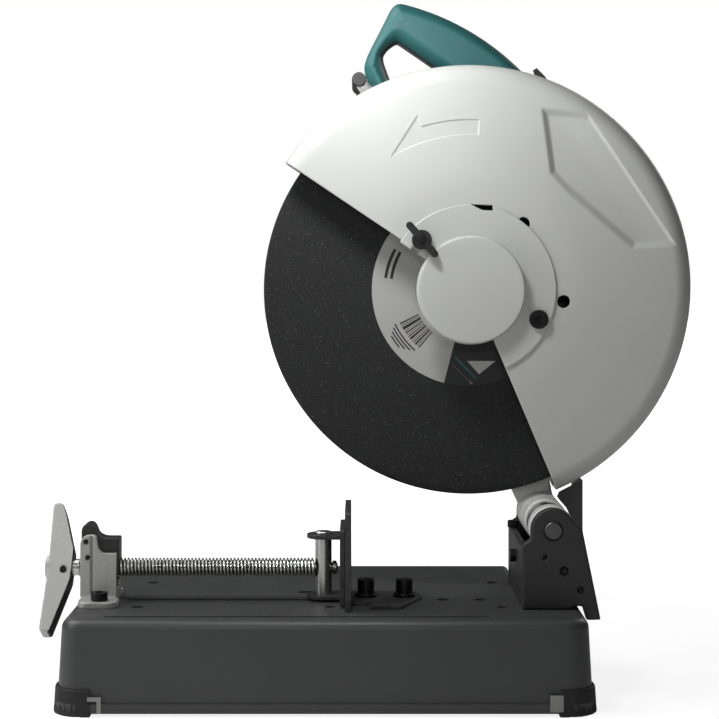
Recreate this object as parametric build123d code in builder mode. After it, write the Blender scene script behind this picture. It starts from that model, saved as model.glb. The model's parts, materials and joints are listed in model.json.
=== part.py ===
from build123d import *
import os
from math import atan2, cos, degrees, hypot, radians, sin

# Abrasive chop saw for a 355 mm wheel, as separate pieces. Millimetres, +Z up.
# +X points to the pivot end and +Y to the motor side. The origin is on the bench, under the middle
# of the whole machine.

os.makedirs("parts", exist_ok=True)

# ---------------------------------------------------------------- driving dimensions
BASE_X, BASE_Y = -36.6, -9             # middle of the base in plan
BASE_L, BASE_W = 432, 272              # outside of the base at its foot
BASE_BOTTOM, BASE_TOP = 2.5, 75
BASE_DRAFT = 4                         # how far each side leans in by the top
BASE_CORNER, BASE_WALL = 22, 3
HEM_H, HEM_OUT = 7.5, 1.5
FOOT_H, FOOT_OUT, FOOT_SPAN = 21, 3, 30

CUT_Y = -16.5                          # mid-plane of the wheel
WHEEL_R, WHEEL_T, BORE_R = 177.5, 3, 12.7
WHEEL_X, WHEEL_Z = 85.3, 338           # spindle axis at the raised position
LABEL_R = 83.6
FLANGE_R, FLANGE_T = 40, 8

PIVOT_X, PIVOT_Z, PIN_R = 150.7, 140, 7.3
EAR_R = 18.5
EAR_FRONT, EAR_BACK = -95.5, 38        # outer faces of the two ears
EAR_T = 9.5
RUN = 0.05                             # running clearance of a shaft, on the radius
GAP = 0.5                              # side clearance of moving faces

GUARD_X, GUARD_Z, GUARD_R = 85.2, 341, 190.3
GUARD_FRONT, GUARD_REAR = -54, -3
GUARD_WALL = 2
FLAT_R, DISH = 92, 5                   # flat middle of the guard, then how far it falls back to the rim
RIM_ROUND = 17
OPEN_FROM, OPEN_TO = 146, 293.1        # open sector of the guard, degrees from +X towards +Z
CAP_R, COVER_R = 45.8, 72.5
COVER_FRONT, CAP_FRONT = -56.2, -66
HINGE_X, HINGE_Z = 142.7, 313.1        # screw that the centre cover swings on
WING_X, WING_Z = 43.5, 380.4

GEAR_TEETH, PINION_TEETH, GEAR_MODULE = 46, 11, 2
GEAR_R = GEAR_MODULE * GEAR_TEETH / 2
PINION_R = GEAR_MODULE * PINION_TEETH / 2
CENTRES = GEAR_R + PINION_R
MOTOR_TILT = 100                       # direction from the spindle to the motor axis, degrees
MOTOR_X = WHEEL_X + CENTRES * cos(radians(MOTOR_TILT))
MOTOR_Z = WHEEL_Z + CENTRES * sin(radians(MOTOR_TILT))
GEAR_Y0, GEAR_Y1 = 11, 23
CASE_FRONT, CASE_BACK = -2.5, 31       # gear case, then its cover, then the motor
COVER_BACK = 37
MOTOR_BACK, END_BACK = 119, 148
MOTOR_R, MOTOR_WALL = 49, 3.5

VISE_Y, VISE_Z = -50.5, 102.5          # axis of the vise screw
SCREW_R, JOURNAL_R = 8, 4
VISE_PIN_X, VISE_PIN_R = -39.6, 7
JAW_X0, JAW_X1 = -25.3, -21.3
FENCE_X = -21                          # face that the work bears on
FENCE_T = 5
HOLDER_X0, HOLDER_X1 = -244, -213.6    # walls of the vise bracket
HOLDER_GAP = 9                         # half of the space between them
NUT_PIN_X, NUT_PIN_Z = -239, 126.4
HANDLE_TILT = 30                       # lean of the vise lever about the screw, degrees

GRIP_Y0, GRIP_Y1 = 2, 38               # sides of the D-handle
CMM = (Align.CENTER, Align.CENTER, Align.MIN)


# ---------------------------------------------------------------- helpers
def xz(y):
    """The plane at this y, with its local axes along X and Z, facing -Y."""
    return Plane.XZ.offset(-y)


def rod_x(y, z, x0, x1, r, mode=Mode.ADD):
    """A round bar along X."""
    with Locations(Location((x0, y, z), (0, 90, 0))):
        Cylinder(r, x1 - x0, align=CMM, mode=mode)


def rod_y(x, z, y0, y1, r, mode=Mode.ADD):
    """A round bar along Y."""
    with Locations(Location((x, y0, z), (-90, 0, 0))):
        Cylinder(r, y1 - y0, align=CMM, mode=mode)


def rod_z(x, y, z0, z1, r, mode=Mode.ADD):
    """A round bar along Z."""
    with Locations((x, y, z0)):
        Cylinder(r, z1 - z0, align=CMM, mode=mode)


def block(x0, x1, y0, y1, z0, z1, mode=Mode.ADD):
    """A box between six planes."""
    with Locations(((x0 + x1) / 2, (y0 + y1) / 2, z0)):
        Box(x1 - x0, y1 - y0, z1 - z0, align=CMM, mode=mode)


def prism(plane, points, depth, mode=Mode.ADD):
    """A straight-sided plate whose outline runs through the points."""
    with BuildSketch(plane) as outline:
        with BuildLine():
            Polyline(*points, close=True)
        make_face()
    extrude(outline.sketch, amount=depth, mode=mode)


def hexagon(plane, across, depth, mode=Mode.ADD):
    """A hexagonal prism, such as a bolt head or a socket."""
    with BuildSketch(plane) as outline:
        RegularPolygon(across / 2, 6, major_radius=False)
    extrude(outline.sketch, amount=depth, mode=mode)


def socket_screw(plane, head_r, head_h, shank_r, shank_l):
    """A cap screw whose head stands along the plane's normal, with a hexagonal socket."""
    with BuildSketch(plane) as head:
        Circle(head_r)
    extrude(head.sketch, amount=head_h)
    with BuildSketch(plane) as shank:
        Circle(shank_r)
    extrude(shank.sketch, amount=-shank_l)
    hexagon(plane.offset(head_h * 0.4), head_r * 0.9, head_h * 0.6, Mode.SUBTRACT)


def facing(origin, normal):
    """A plane at a point, facing along the given axis."""
    x_dir = (0, 1, 0) if abs(normal[0]) > 0.5 else (1, 0, 0)
    return Plane(origin=origin, x_dir=x_dir, z_dir=normal)


def hull_case(y0, y1, grow, mode=Mode.ADD):
    """The gear case's outline, round the gear and the pinion, grown by a wall thickness."""
    with BuildSketch(xz(y1)) as outline:
        with Locations((WHEEL_X, WHEEL_Z)):
            Circle(GEAR_R + 4 + grow)
        with Locations((MOTOR_X, MOTOR_Z)):
            Circle(MOTOR_R - 6 + grow)
        make_hull()
    extrude(outline.sketch, amount=y1 - y0, mode=mode)


def ring_y(x, z, y0, y1, r_out, r_in):
    """A plain ring about an axis along Y."""
    rod_y(x, z, y0, y1, r_out)
    rod_y(x, z, y0, y1, r_in, Mode.SUBTRACT)


def screw_ring(x, z, radius, turns):
    """Centres of screws or holes round an axis along Y, at the given angles."""
    return [(x + radius * cos(radians(a)), z + radius * sin(radians(a))) for a in turns]


def save(piece, name):
    """Name the finished piece and write it."""
    piece.part.label = name
    export_step(piece.part, f"parts/{name}.step")


def base_outline(length, width, corner):
    """The base in plan, with the step behind the pivot bracket left out of it."""
    with Locations((BASE_X, BASE_Y)):
        RectangleRounded(length, width, corner)
    step_x = BASE_X + length / 2
    step_y = BASE_Y + width / 2
    with Locations((step_x, step_y)):
        RectangleRounded(86, 166, 14, mode=Mode.SUBTRACT)


# ---------------------------------------------------------------- base
BENCH_HOLES_X = (-193.5, 110)
BENCH_HOLES_Y = (-82.5, 29.5)
BENCH_HOLE_R = 5
FENCE_HOLES_X = (-3.5, 29, 62, 94)
FENCE_HOLE_R = 5.2
DRAFT_ANGLE = degrees(atan2(BASE_DRAFT, BASE_TOP - BASE_BOTTOM))

with BuildPart() as base:
    with BuildSketch(Plane.XY.offset(BASE_BOTTOM)) as foot_print:
        base_outline(BASE_L, BASE_W, BASE_CORNER)
    extrude(amount=BASE_TOP - BASE_BOTTOM, taper=DRAFT_ANGLE)
    fillet(base.faces().sort_by(Axis.Z)[-1].edges(), 8)
    with BuildSketch(Plane.XY.offset(BASE_BOTTOM)) as inside:
        base_outline(BASE_L - 2 * BASE_WALL, BASE_W - 2 * BASE_WALL, BASE_CORNER - BASE_WALL)
    extrude(amount=BASE_TOP - BASE_BOTTOM - BASE_WALL, taper=DRAFT_ANGLE, mode=Mode.SUBTRACT)
    with BuildSketch(Plane.XY.offset(BASE_BOTTOM)) as hem:
        base_outline(BASE_L + 2 * HEM_OUT, BASE_W + 2 * HEM_OUT, BASE_CORNER)
        offset(foot_print.sketch, -0.5, mode=Mode.SUBTRACT)
    extrude(amount=HEM_H)
    # beads pressed along the front
    block(-215, 96, -125, -122, BASE_TOP - 1, BASE_TOP + 0.8)
    # guide slot of the vise, then the slot that the wheel drops into
    with BuildSketch(Plane.XY.offset(BASE_TOP)):
        with Locations((-115, VISE_Y)):
            SlotOverall(182, 8)
        with Locations((-26.7, CUT_Y)):
            SlotOverall(72, 9)
    extrude(amount=-2 * BASE_WALL, mode=Mode.SUBTRACT)
    with Locations((0, 0, BASE_TOP)):
        with Locations(*[(x, y) for x in BENCH_HOLES_X for y in BENCH_HOLES_Y], (-33, -81.9)):
            Hole(BENCH_HOLE_R, 2 * BASE_WALL)
        with Locations(*[(x, VISE_Y) for x in FENCE_HOLES_X]):
            Hole(FENCE_HOLE_R, 2 * BASE_WALL)
save(base, "base")

FOOT_CORNERS = [(-1, -1), (1, -1), (-1, 1)]
FOOT_REAR_X = 133                      # the fourth foot sits at the step behind the bracket
CLIP_Y = BASE_Y - BASE_W / 2 - HEM_OUT

with BuildPart() as rubber_feet:
    with BuildSketch(Plane.XY) as foot_outline:
        base_outline(BASE_L + 2 * FOOT_OUT, BASE_W + 2 * FOOT_OUT, BASE_CORNER + FOOT_OUT)
    extrude(amount=FOOT_H, taper=4)
    with BuildSketch(Plane.XY) as corners:
        for side_x, side_y in FOOT_CORNERS:
            with Locations((BASE_X + side_x * BASE_L / 2, BASE_Y + side_y * BASE_W / 2)):
                Rectangle(2 * FOOT_SPAN, 2 * FOOT_SPAN)
        with Locations((FOOT_REAR_X, BASE_Y + BASE_W / 2)):
            Rectangle(2 * FOOT_SPAN, 2 * FOOT_SPAN)
    extrude(amount=FOOT_H, mode=Mode.INTERSECT)
    with BuildSketch(Plane.XY.offset(BASE_BOTTOM)) as seat:
        base_outline(BASE_L, BASE_W, BASE_CORNER)
    extrude(amount=BASE_TOP - BASE_BOTTOM, taper=DRAFT_ANGLE, mode=Mode.SUBTRACT)
    with BuildSketch(Plane.XY.offset(BASE_BOTTOM)) as hem_seat:
        base_outline(BASE_L + 2 * HEM_OUT, BASE_W + 2 * HEM_OUT, BASE_CORNER)
    extrude(amount=HEM_H, mode=Mode.SUBTRACT)
    with BuildSketch(Plane.XY) as middle:
        base_outline(BASE_L - 16, BASE_W - 16, BASE_CORNER - 8)
    extrude(amount=BASE_BOTTOM, mode=Mode.SUBTRACT)
    block(-226.5, -210, CLIP_Y - 10, CLIP_Y + 0.1, 12, 30, Mode.SUBTRACT)
    block(142.1, 153.1, CLIP_Y - 10, CLIP_Y + 0.1, 3.9, 17.6, Mode.SUBTRACT)
save(rubber_feet, "rubber_feet")

with BuildPart() as foot_clips:
    # an L beside the left foot and a plain tab beside the right one
    prism(xz(CLIP_Y), [(-225, 16), (-214, 16), (-214, 3), (-217.5, 3), (-217.5, 12.5), (-225, 12.5)], 1.2)
    block(142.2, 153, CLIP_Y - 1.2, CLIP_Y, 4, 17.5)
save(foot_clips, "foot_clips")

with BuildPart() as fence_weld_nuts:
    for hole_x in FENCE_HOLES_X:
        plane = Plane.XY.offset(BASE_TOP - BASE_WALL - 8)
        hexagon(plane.move(Location((hole_x, VISE_Y, 0))), 16, 8)
        rod_z(hole_x, VISE_Y, BASE_TOP - 20, BASE_TOP, 4.9, Mode.SUBTRACT)
save(fence_weld_nuts, "fence_weld_nuts")

# ---------------------------------------------------------------- pivot bracket
WALL_X = 125
STOP_Y, STOP_TOP = 15, 133             # bolt in the left wall's top that the arm comes down on
# the arm's lug rests on the tip of the side bolt when the head is up
SIDE_BOLT_Y, SIDE_BOLT_Z, LUG_X = -34, 110, 144.7
EAR_OUTLINE = [
    (WALL_X, BASE_TOP), (WALL_X, 128.3), (PIVOT_X - EAR_R, 133), (PIVOT_X - EAR_R, PIVOT_Z),
    (PIVOT_X, PIVOT_Z), (PIVOT_X + EAR_R * cos(radians(40)), PIVOT_Z + EAR_R * sin(radians(40))),
    (174.8, 141), (189.8, 66.6), (178.2, 66.3),
    (174.7, 77.8), (166.7, 77.8), (166.7, BASE_TOP),
]
BRACKET_BOLTS = [(146, -74), (146, 14), (138, -52)]
BRACKET_FLOOR = 8
EAR_SCREWS = [(159.6, 106.9, 2.4), (173.1, 91.2, 1.6)]

with BuildPart() as pivot_bracket:
    for face_y in (EAR_FRONT + EAR_T, EAR_BACK):
        prism(xz(face_y), EAR_OUTLINE, EAR_T)
        rod_y(PIVOT_X, PIVOT_Z, face_y - EAR_T, face_y, EAR_R)
    block(WALL_X, WALL_X + 5, EAR_FRONT, EAR_BACK, BASE_TOP, 127)
    block(WALL_X, 166.7, EAR_FRONT, EAR_BACK, BASE_TOP, BASE_TOP + BRACKET_FLOOR)
    rod_y(PIVOT_X, PIVOT_Z, EAR_FRONT - 5, EAR_BACK + 5, PIN_R + 0.02, Mode.SUBTRACT)
    rod_y(143.9, 118, EAR_FRONT - 1, EAR_FRONT + EAR_T + 1, 2, Mode.SUBTRACT)
    for screw_x, screw_z, screw_r in EAR_SCREWS:
        rod_y(screw_x, screw_z, EAR_FRONT - 1, EAR_FRONT + 3, screw_r + 0.8, Mode.SUBTRACT)
    for bolt_x, bolt_y in BRACKET_BOLTS:
        rod_z(bolt_x, bolt_y, BASE_TOP - 1, BASE_TOP + 20, 4.1, Mode.SUBTRACT)
    rod_x(SIDE_BOLT_Y, SIDE_BOLT_Z, WALL_X - 1, WALL_X + 6, 3.05, Mode.SUBTRACT)
    rod_z(WALL_X + 2.5, STOP_Y, 115, 130, 1.6, Mode.SUBTRACT)
save(pivot_bracket, "pivot_bracket")

with BuildPart() as pivot_pin:
    rod_y(PIVOT_X, PIVOT_Z, EAR_FRONT - 1, EAR_BACK + 3, PIN_R)
    chamfer(pivot_pin.faces().sort_by(Axis.Y)[0].edges(), 0.8)
    rod_y(PIVOT_X, PIVOT_Z, EAR_BACK + 1.2, EAR_BACK + 2.2, PIN_R + 3)
save(pivot_pin, "pivot_pin")

SPARK_T = 1.6
SPARK_X, SPARK_TOP, SPARK_FRONT = 181.5, 175, -38
SPARK_FOOT, SPARK_HEAD = (188.9, 68), (174.2, 141)
SPARK_BEND = (SPARK_X, 104.7)          # where the upright part leaves the slanted one
SPARK_FLANGE = [
    (SPARK_X, SPARK_TOP), (171, 169.6), (162, 165), (160.2, 160.8), (163.4, 156.6),
    (168.2, 151.2), (171.1, 145), SPARK_HEAD, SPARK_BEND,
]

with BuildPart() as spark_guard:
    # a slanted sheet between the ears, then an upright one behind the guard's rim, and its front flange
    with BuildSketch(xz(SPARK_FRONT)) as slanted:
        with BuildLine():
            Polyline(SPARK_FOOT, SPARK_HEAD)
        trace(line_width=SPARK_T)
    extrude(amount=SPARK_FRONT - EAR_FRONT - EAR_T)
    with BuildSketch(xz(EAR_BACK - EAR_T)) as upright:
        with BuildLine():
            Polyline(SPARK_FOOT, SPARK_BEND, (SPARK_X, SPARK_TOP))
        trace(line_width=SPARK_T)
    extrude(amount=EAR_BACK - EAR_T - SPARK_FRONT)
    prism(xz(SPARK_FRONT + SPARK_T), SPARK_FLANGE, SPARK_T)
save(spark_guard, "spark_guard")

with BuildPart() as bracket_bolts:
    for bolt_x, bolt_y in BRACKET_BOLTS:
        top = facing((bolt_x, bolt_y, BASE_TOP + BRACKET_FLOOR), (0, 0, 1))
        socket_screw(top, 6.5, 7, 4, BRACKET_FLOOR)
    # side bolt, then the small screws sunk in the front ear
    hexagon(facing((WALL_X, SIDE_BOLT_Y, SIDE_BOLT_Z), (-1, 0, 0)), 10, 5)
    rod_x(SIDE_BOLT_Y, SIDE_BOLT_Z, WALL_X, LUG_X - 0.4, 3)
    for screw_x, screw_z, screw_r in EAR_SCREWS:
        rod_y(screw_x, screw_z, EAR_FRONT - 0.5, EAR_FRONT + 3, screw_r)
    # bolt that the arm comes down on
    hexagon(facing((WALL_X + 2.5, STOP_Y, 127), (0, 0, 1)), 9, STOP_TOP - 127)
    rod_z(WALL_X + 2.5, STOP_Y, 116, 127, 1.55)
save(bracket_bolts, "bracket_bolts")

# ---------------------------------------------------------------- fence and vise
FENCE_FOOT_T, WASHER_T = 3, 2.5
FENCE_FOOT = [
    (FENCE_X, -26), (38, -26), (44, -38), (43.7, -51), (26, -94), (0, -94), (0, -77), (FENCE_X, -77),
]

with BuildPart() as fence:
    block(FENCE_X, FENCE_X + FENCE_T, -106.5, -25.5, BASE_TOP, 157)
    with BuildSketch(Plane.XY.offset(BASE_TOP)):
        with BuildLine():
            Polyline(*FENCE_FOOT, close=True)
        make_face()
    extrude(amount=FENCE_FOOT_T)
    fillet(fence.edges().filter_by(Axis.X).group_by(Axis.Z)[-1], 4)
    for hole_x in FENCE_HOLES_X[:2]:
        rod_z(hole_x, VISE_Y, BASE_TOP - 1, BASE_TOP + 6, FENCE_HOLE_R, Mode.SUBTRACT)
save(fence, "fence")

with BuildPart() as fence_bolts:
    for hole_x in FENCE_HOLES_X[:2]:
        seat_z = BASE_TOP + FENCE_FOOT_T + WASHER_T
        socket_screw(facing((hole_x, VISE_Y, seat_z), (0, 0, 1)), 7.2, 12, 4.8, 16.5)
        rod_z(hole_x, VISE_Y, seat_z - WASHER_T, seat_z, 9.5)
save(fence_bolts, "fence_bolts")


def holder_profile(left, right, shoulder, top):
    """Side outline shared by the vise bracket's walls and the vise nut: a bump, then a shoulder."""
    with BuildLine() as side:
        Polyline((left, 80), (left, top - 8))
        RadiusArc((left, top - 8), (left + 8, top), 8)
        Line((left + 8, top), (left + 10, top))
        Spline((left + 10, top), (left + 15, shoulder + 6), (right - 9, shoulder), tangents=[(1, 0), (1, -0.1)])
        Polyline((right - 9, shoulder), (right, shoulder), (right, 80), (left, 80))
    make_face(side.edges())


HOLDER_WALL = 6.5
HOLDER_FOOT = 5
HOLDER_BOLT_X = -225.4
HOLDER_BOLTS_Y = (-80.5, -20.5)
HOLDER_PINS = [(NUT_PIN_X, NUT_PIN_Z), (-237.5, 113.2)]

with BuildPart() as vise_bracket:
    for wall_y in (VISE_Y - HOLDER_GAP, VISE_Y + HOLDER_GAP + HOLDER_WALL):
        with BuildSketch(xz(wall_y)):
            holder_profile(HOLDER_X0, HOLDER_X1, 116.5, 132)
        extrude(amount=HOLDER_WALL)
    with BuildSketch(Plane.XY.offset(BASE_TOP)):
        with Locations((-226.5, -78.5)):
            RectangleRounded(33, 27, 10)
        with Locations((-230, -24)):
            RectangleRounded(24, 29, 9)
        with Locations((-228.5, VISE_Y)):
            Rectangle(29, 60)
    extrude(amount=HOLDER_FOOT)
    block(-243, -214, VISE_Y - HOLDER_GAP - 0.5, VISE_Y + HOLDER_GAP + 0.5, BASE_TOP + HOLDER_FOOT, 86)
    # two grooves down the outer face of each wall
    for groove_y in (VISE_Y - HOLDER_GAP - HOLDER_WALL, VISE_Y + HOLDER_GAP + HOLDER_WALL):
        block(-235.4, -233.3, groove_y - 2, groove_y + 2, 82, 140, Mode.SUBTRACT)
        block(-221.3, -220.2, groove_y - 0.8, groove_y + 0.8, 82, 140, Mode.SUBTRACT)
    for pin_x, pin_z in HOLDER_PINS:
        rod_y(pin_x, pin_z, VISE_Y - 30, VISE_Y + 30, 2.02, Mode.SUBTRACT)
    for bolt_y in HOLDER_BOLTS_Y:
        rod_z(HOLDER_BOLT_X, bolt_y, BASE_TOP - 1, BASE_TOP + 10, 4.1, Mode.SUBTRACT)
save(vise_bracket, "vise_bracket")

with BuildPart() as vise_bracket_bolts:
    for bolt_y in HOLDER_BOLTS_Y:
        socket_screw(facing((HOLDER_BOLT_X, bolt_y, BASE_TOP + HOLDER_FOOT), (0, 0, 1)), 7, 7, 4, HOLDER_FOOT)
    # the nut's hinge pin and the stop pin under it
    pin_reach = HOLDER_GAP + HOLDER_WALL + 0.6
    for pin_x, pin_z in HOLDER_PINS:
        rod_y(pin_x, pin_z, VISE_Y - pin_reach, VISE_Y + pin_reach, 2)
save(vise_bracket_bolts, "vise_bracket_fasteners")

NUT_HALF = HOLDER_GAP - 0.35

with BuildPart() as vise_nut:
    with BuildSketch(xz(VISE_Y + NUT_HALF)):
        with BuildLine():
            Polyline((-244, 122), (-244, 134))
            RadiusArc((-244, 134), (-238, 141), 7)
            Spline((-238, 141), (-230.5, 132.5), (-221, 128.6), tangents=[(1, 0), (1, 0)])
            Polyline((-221, 128.6), (-212, 128.6), (-212, 97), (-231, 97), (-231, 122), (-244, 122))
        make_face()
    extrude(amount=2 * NUT_HALF)
    rod_x(VISE_Y, VISE_Z, -250, -205, SCREW_R + 0.15, Mode.SUBTRACT)
    channel = SCREW_R + 0.15
    block(-250, -205, VISE_Y - channel, VISE_Y + channel, 90, VISE_Z, Mode.SUBTRACT)
    rod_y(NUT_PIN_X, NUT_PIN_Z, VISE_Y - 20, VISE_Y + 20, 2 + RUN, Mode.SUBTRACT)
save(vise_nut, "vise_nut")

SCREW_X0, SCREW_X1 = -270, VISE_PIN_X - VISE_PIN_R - 1

with BuildPart() as vise_screw:
    rod_x(VISE_Y, VISE_Z, SCREW_X0, -246.5, 7)
    rod_x(VISE_Y, VISE_Z, -246.5, SCREW_X1, SCREW_R)
    rod_x(VISE_Y, VISE_Z, SCREW_X1, -27.5, JOURNAL_R)
    chamfer(vise_screw.faces().sort_by(Axis.X)[-1].edges(), 0.8)
    rod_x(VISE_Y, VISE_Z, -32, -28.5, 5.6)
    rod_y(-259, VISE_Z, VISE_Y - 20, VISE_Y + 20, 2.52, Mode.SUBTRACT)
save(vise_screw, "vise_screw")

LEVER_DOWN, LEVER_UP = -59, 55
LEVER = Plane(
    origin=(0, VISE_Y, VISE_Z),
    x_dir=(1, 0, 0),
    z_dir=(0, -cos(radians(HANDLE_TILT)), sin(radians(HANDLE_TILT))),
)
LEVER_OUTLINE = [
    (-275, LEVER_DOWN), (-266, LEVER_DOWN), (-252.2, -13), (-251.5, 13),
    (-260.5, LEVER_UP - 10), (-264, LEVER_UP), (-272.5, LEVER_UP), (-272, 0),
]

with BuildPart() as vise_handle:
    prism(LEVER.offset(-9), LEVER_OUTLINE, 18)
    fillet(vise_handle.edges().filter_by(lambda e: e.length > 17.9 and e.length < 18.1), 3)
    rod_x(VISE_Y, VISE_Z, -280, -240, 7.02, Mode.SUBTRACT)
    rod_x(VISE_Y, VISE_Z, -275, -270, 9.5)
    rod_y(-259, VISE_Z, VISE_Y - 30, VISE_Y + 30, 2.52, Mode.SUBTRACT)
save(vise_handle, "vise_handle")

with BuildPart() as handle_pin:
    rod_y(-259, VISE_Z, VISE_Y - 12, VISE_Y + 12, 2.5)
save(handle_pin, "vise_handle_pin")

JAW_TOP, JAW_BOTTOM = 140, 77
YOKE_R = 14

with BuildPart() as vise_jaw:
    block(JAW_X0, JAW_X1, -90, -26, JAW_BOTTOM, JAW_TOP)
    for plate_z in (JAW_BOTTOM, 127.8):
        with BuildSketch(Plane.XY.offset(plate_z)):
            with Locations((VISE_PIN_X, VISE_Y)):
                Circle(YOKE_R)
            with Locations(((VISE_PIN_X + JAW_X0) / 2, VISE_Y)):
                Rectangle(JAW_X0 - VISE_PIN_X, 2 * YOKE_R)
        extrude(amount=3.5)
    rod_z(VISE_PIN_X, VISE_Y, 70, 140, VISE_PIN_R + 0.02, Mode.SUBTRACT)
    fillet(vise_jaw.edges().filter_by(Axis.X).group_by(Axis.Z)[-1], 3)
save(vise_jaw, "vise_jaw")

with BuildPart() as vise_pin:
    rod_z(VISE_PIN_X, VISE_Y, JAW_BOTTOM, 133.3, VISE_PIN_R)
    chamfer(vise_pin.faces().sort_by(Axis.Z)[-1].edges(), 0.8)
    rod_z(VISE_PIN_X, VISE_Y, 62, JAW_BOTTOM, 3.7)
    rod_x(VISE_Y, VISE_Z, -60, -20, JOURNAL_R + RUN, Mode.SUBTRACT)
save(vise_pin, "vise_pin")

with BuildPart() as vise_guide_washer:
    rod_z(VISE_PIN_X, VISE_Y, 66, BASE_TOP - BASE_WALL - 0.4, 8)
    rod_z(VISE_PIN_X, VISE_Y, 60, BASE_TOP, 3.72, Mode.SUBTRACT)
save(vise_guide_washer, "vise_guide_washer")

# ---------------------------------------------------------------- arm and gear case
ARM_Y0, ARM_Y1 = 3, EAR_BACK - EAR_T - GAP
BARREL_R = 19
ARM_DIR = degrees(atan2(WHEEL_Z - PIVOT_Z, WHEEL_X - PIVOT_X))
ARM_LEN = hypot(WHEEL_Z - PIVOT_Z, WHEEL_X - PIVOT_X)
ARM_PLANE = Plane(
    origin=(PIVOT_X, ARM_Y1, PIVOT_Z),
    x_dir=(cos(radians(ARM_DIR)), 0, sin(radians(ARM_DIR))),
    z_dir=(0, -1, 0),
)
SPRING_Y0, SPRING_Y1 = -66, -42
CASE_WALL = 4

with BuildPart() as gear_housing:
    # barrel on the pivot pin, necked down where the return spring is wound on it
    rod_y(PIVOT_X, PIVOT_Z, EAR_FRONT + EAR_T + GAP, ARM_Y1, 12.5)
    rod_y(PIVOT_X, PIVOT_Z, EAR_FRONT + EAR_T + GAP, SPRING_Y0 - 3, BARREL_R)
    rod_y(PIVOT_X, PIVOT_Z, SPRING_Y1 + 3, ARM_Y1, BARREL_R)
    prism(ARM_PLANE, [(0, -14), (0, 14), (ARM_LEN - 20, 36), (ARM_LEN - 20, -36)], ARM_Y1 - ARM_Y0)
    prism(ARM_PLANE, [(24, -8), (24, 8), (ARM_LEN - 60, 22), (ARM_LEN - 60, -22)], 9, Mode.SUBTRACT)
    block(LUG_X, PIVOT_X, SPRING_Y1 + 3, -27, 107, PIVOT_Z)
    hull_case(CASE_FRONT, CASE_BACK, CASE_WALL)
    hull_case(CASE_FRONT + CASE_WALL, CASE_BACK, 0, Mode.SUBTRACT)
    rod_y(WHEEL_X, WHEEL_Z, CASE_FRONT, 10, 21)
    rod_y(WHEEL_X, WHEEL_Z, CASE_FRONT - 5, CASE_FRONT + 2, 12, Mode.SUBTRACT)
    rod_y(WHEEL_X, WHEEL_Z, CASE_FRONT + 2, 30, 17.5, Mode.SUBTRACT)
    rod_y(PIVOT_X, PIVOT_Z, EAR_FRONT, EAR_BACK, PIN_R + RUN, Mode.SUBTRACT)
save(gear_housing, "gear_housing")

BEARING_R, SHAFT_R = 17.5, 10
MOTOR_SHAFT_R, MOTOR_BEARING_R = 5, 11
SPIN_BEARING = (CASE_FRONT + 2, 9.5)
LOCK_PIN_X, LOCK_PIN_Z = WHEEL_X + 34, WHEEL_Z

with BuildPart() as gear_case_cover:
    hull_case(CASE_BACK, COVER_BACK, CASE_WALL)
    rod_y(MOTOR_X, MOTOR_Z, COVER_BACK - 3, COVER_BACK, MOTOR_R)
    rod_y(WHEEL_X, WHEEL_Z, COVER_BACK - 2, COVER_BACK + 6, 17)
    rod_y(WHEEL_X, WHEEL_Z, CASE_BACK - 1, COVER_BACK + 3, 13, Mode.SUBTRACT)
    rod_y(MOTOR_X, MOTOR_Z, CASE_BACK - 6, COVER_BACK, 14)
    rod_y(MOTOR_X, MOTOR_Z, CASE_BACK - 7, COVER_BACK - 1.5, MOTOR_BEARING_R, Mode.SUBTRACT)
    rod_y(MOTOR_X, MOTOR_Z, CASE_BACK, COVER_BACK + 1, 8, Mode.SUBTRACT)
    rod_y(LOCK_PIN_X, LOCK_PIN_Z, COVER_BACK - 1, COVER_BACK + 4, 6.5)
    rod_y(LOCK_PIN_X, LOCK_PIN_Z, CASE_BACK - 1, COVER_BACK + 5, 3.6, Mode.SUBTRACT)
save(gear_case_cover, "gear_case_cover")

with BuildPart() as spindle_bearings:
    ring_y(WHEEL_X, WHEEL_Z, *SPIN_BEARING, BEARING_R - 0.02, SHAFT_R + RUN)
    with BuildSketch(xz(CASE_BACK + 9)):
        with Locations((WHEEL_X, WHEEL_Z)):
            Circle(12.98)
            Circle(7 + RUN, mode=Mode.SUBTRACT)
    extrude(amount=9)
save(spindle_bearings, "spindle_bearings")

# ---------------------------------------------------------------- spindle group
WHEEL_FRONT, WHEEL_BACK = CUT_Y - WHEEL_T / 2, CUT_Y + WHEEL_T / 2
FLANGE_FRONT = WHEEL_FRONT - FLANGE_T

with BuildPart() as spindle:
    rod_y(WHEEL_X, WHEEL_Z, WHEEL_FRONT, -6.4, BORE_R - 0.02)
    rod_y(WHEEL_X, WHEEL_Z, -6.4, GEAR_Y1 + 4, SHAFT_R)
    rod_y(WHEEL_X, WHEEL_Z, GEAR_Y1 + 4, CASE_BACK + 8.5, 7)
    rod_y(WHEEL_X, WHEEL_Z, WHEEL_FRONT - 1, 8, 5.02, Mode.SUBTRACT)
save(spindle, "spindle")

with BuildPart() as inner_flange:
    ring_y(WHEEL_X, WHEEL_Z, WHEEL_BACK, WHEEL_BACK + FLANGE_T - 0.6, FLANGE_R, BORE_R)
    ring_y(WHEEL_X, WHEEL_Z, WHEEL_BACK, WHEEL_BACK + 0.6, FLANGE_R - 14, BORE_R)
save(inner_flange, "inner_flange")

with BuildPart() as outer_flange:
    rod_y(WHEEL_X, WHEEL_Z, FLANGE_FRONT, WHEEL_FRONT, FLANGE_R)
    chamfer(outer_flange.faces().sort_by(Axis.Y)[0].edges(), 2)
    rod_y(WHEEL_X, WHEEL_Z, FLANGE_FRONT - 1, WHEEL_FRONT + 1, 5.05, Mode.SUBTRACT)
save(outer_flange, "outer_flange")

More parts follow.
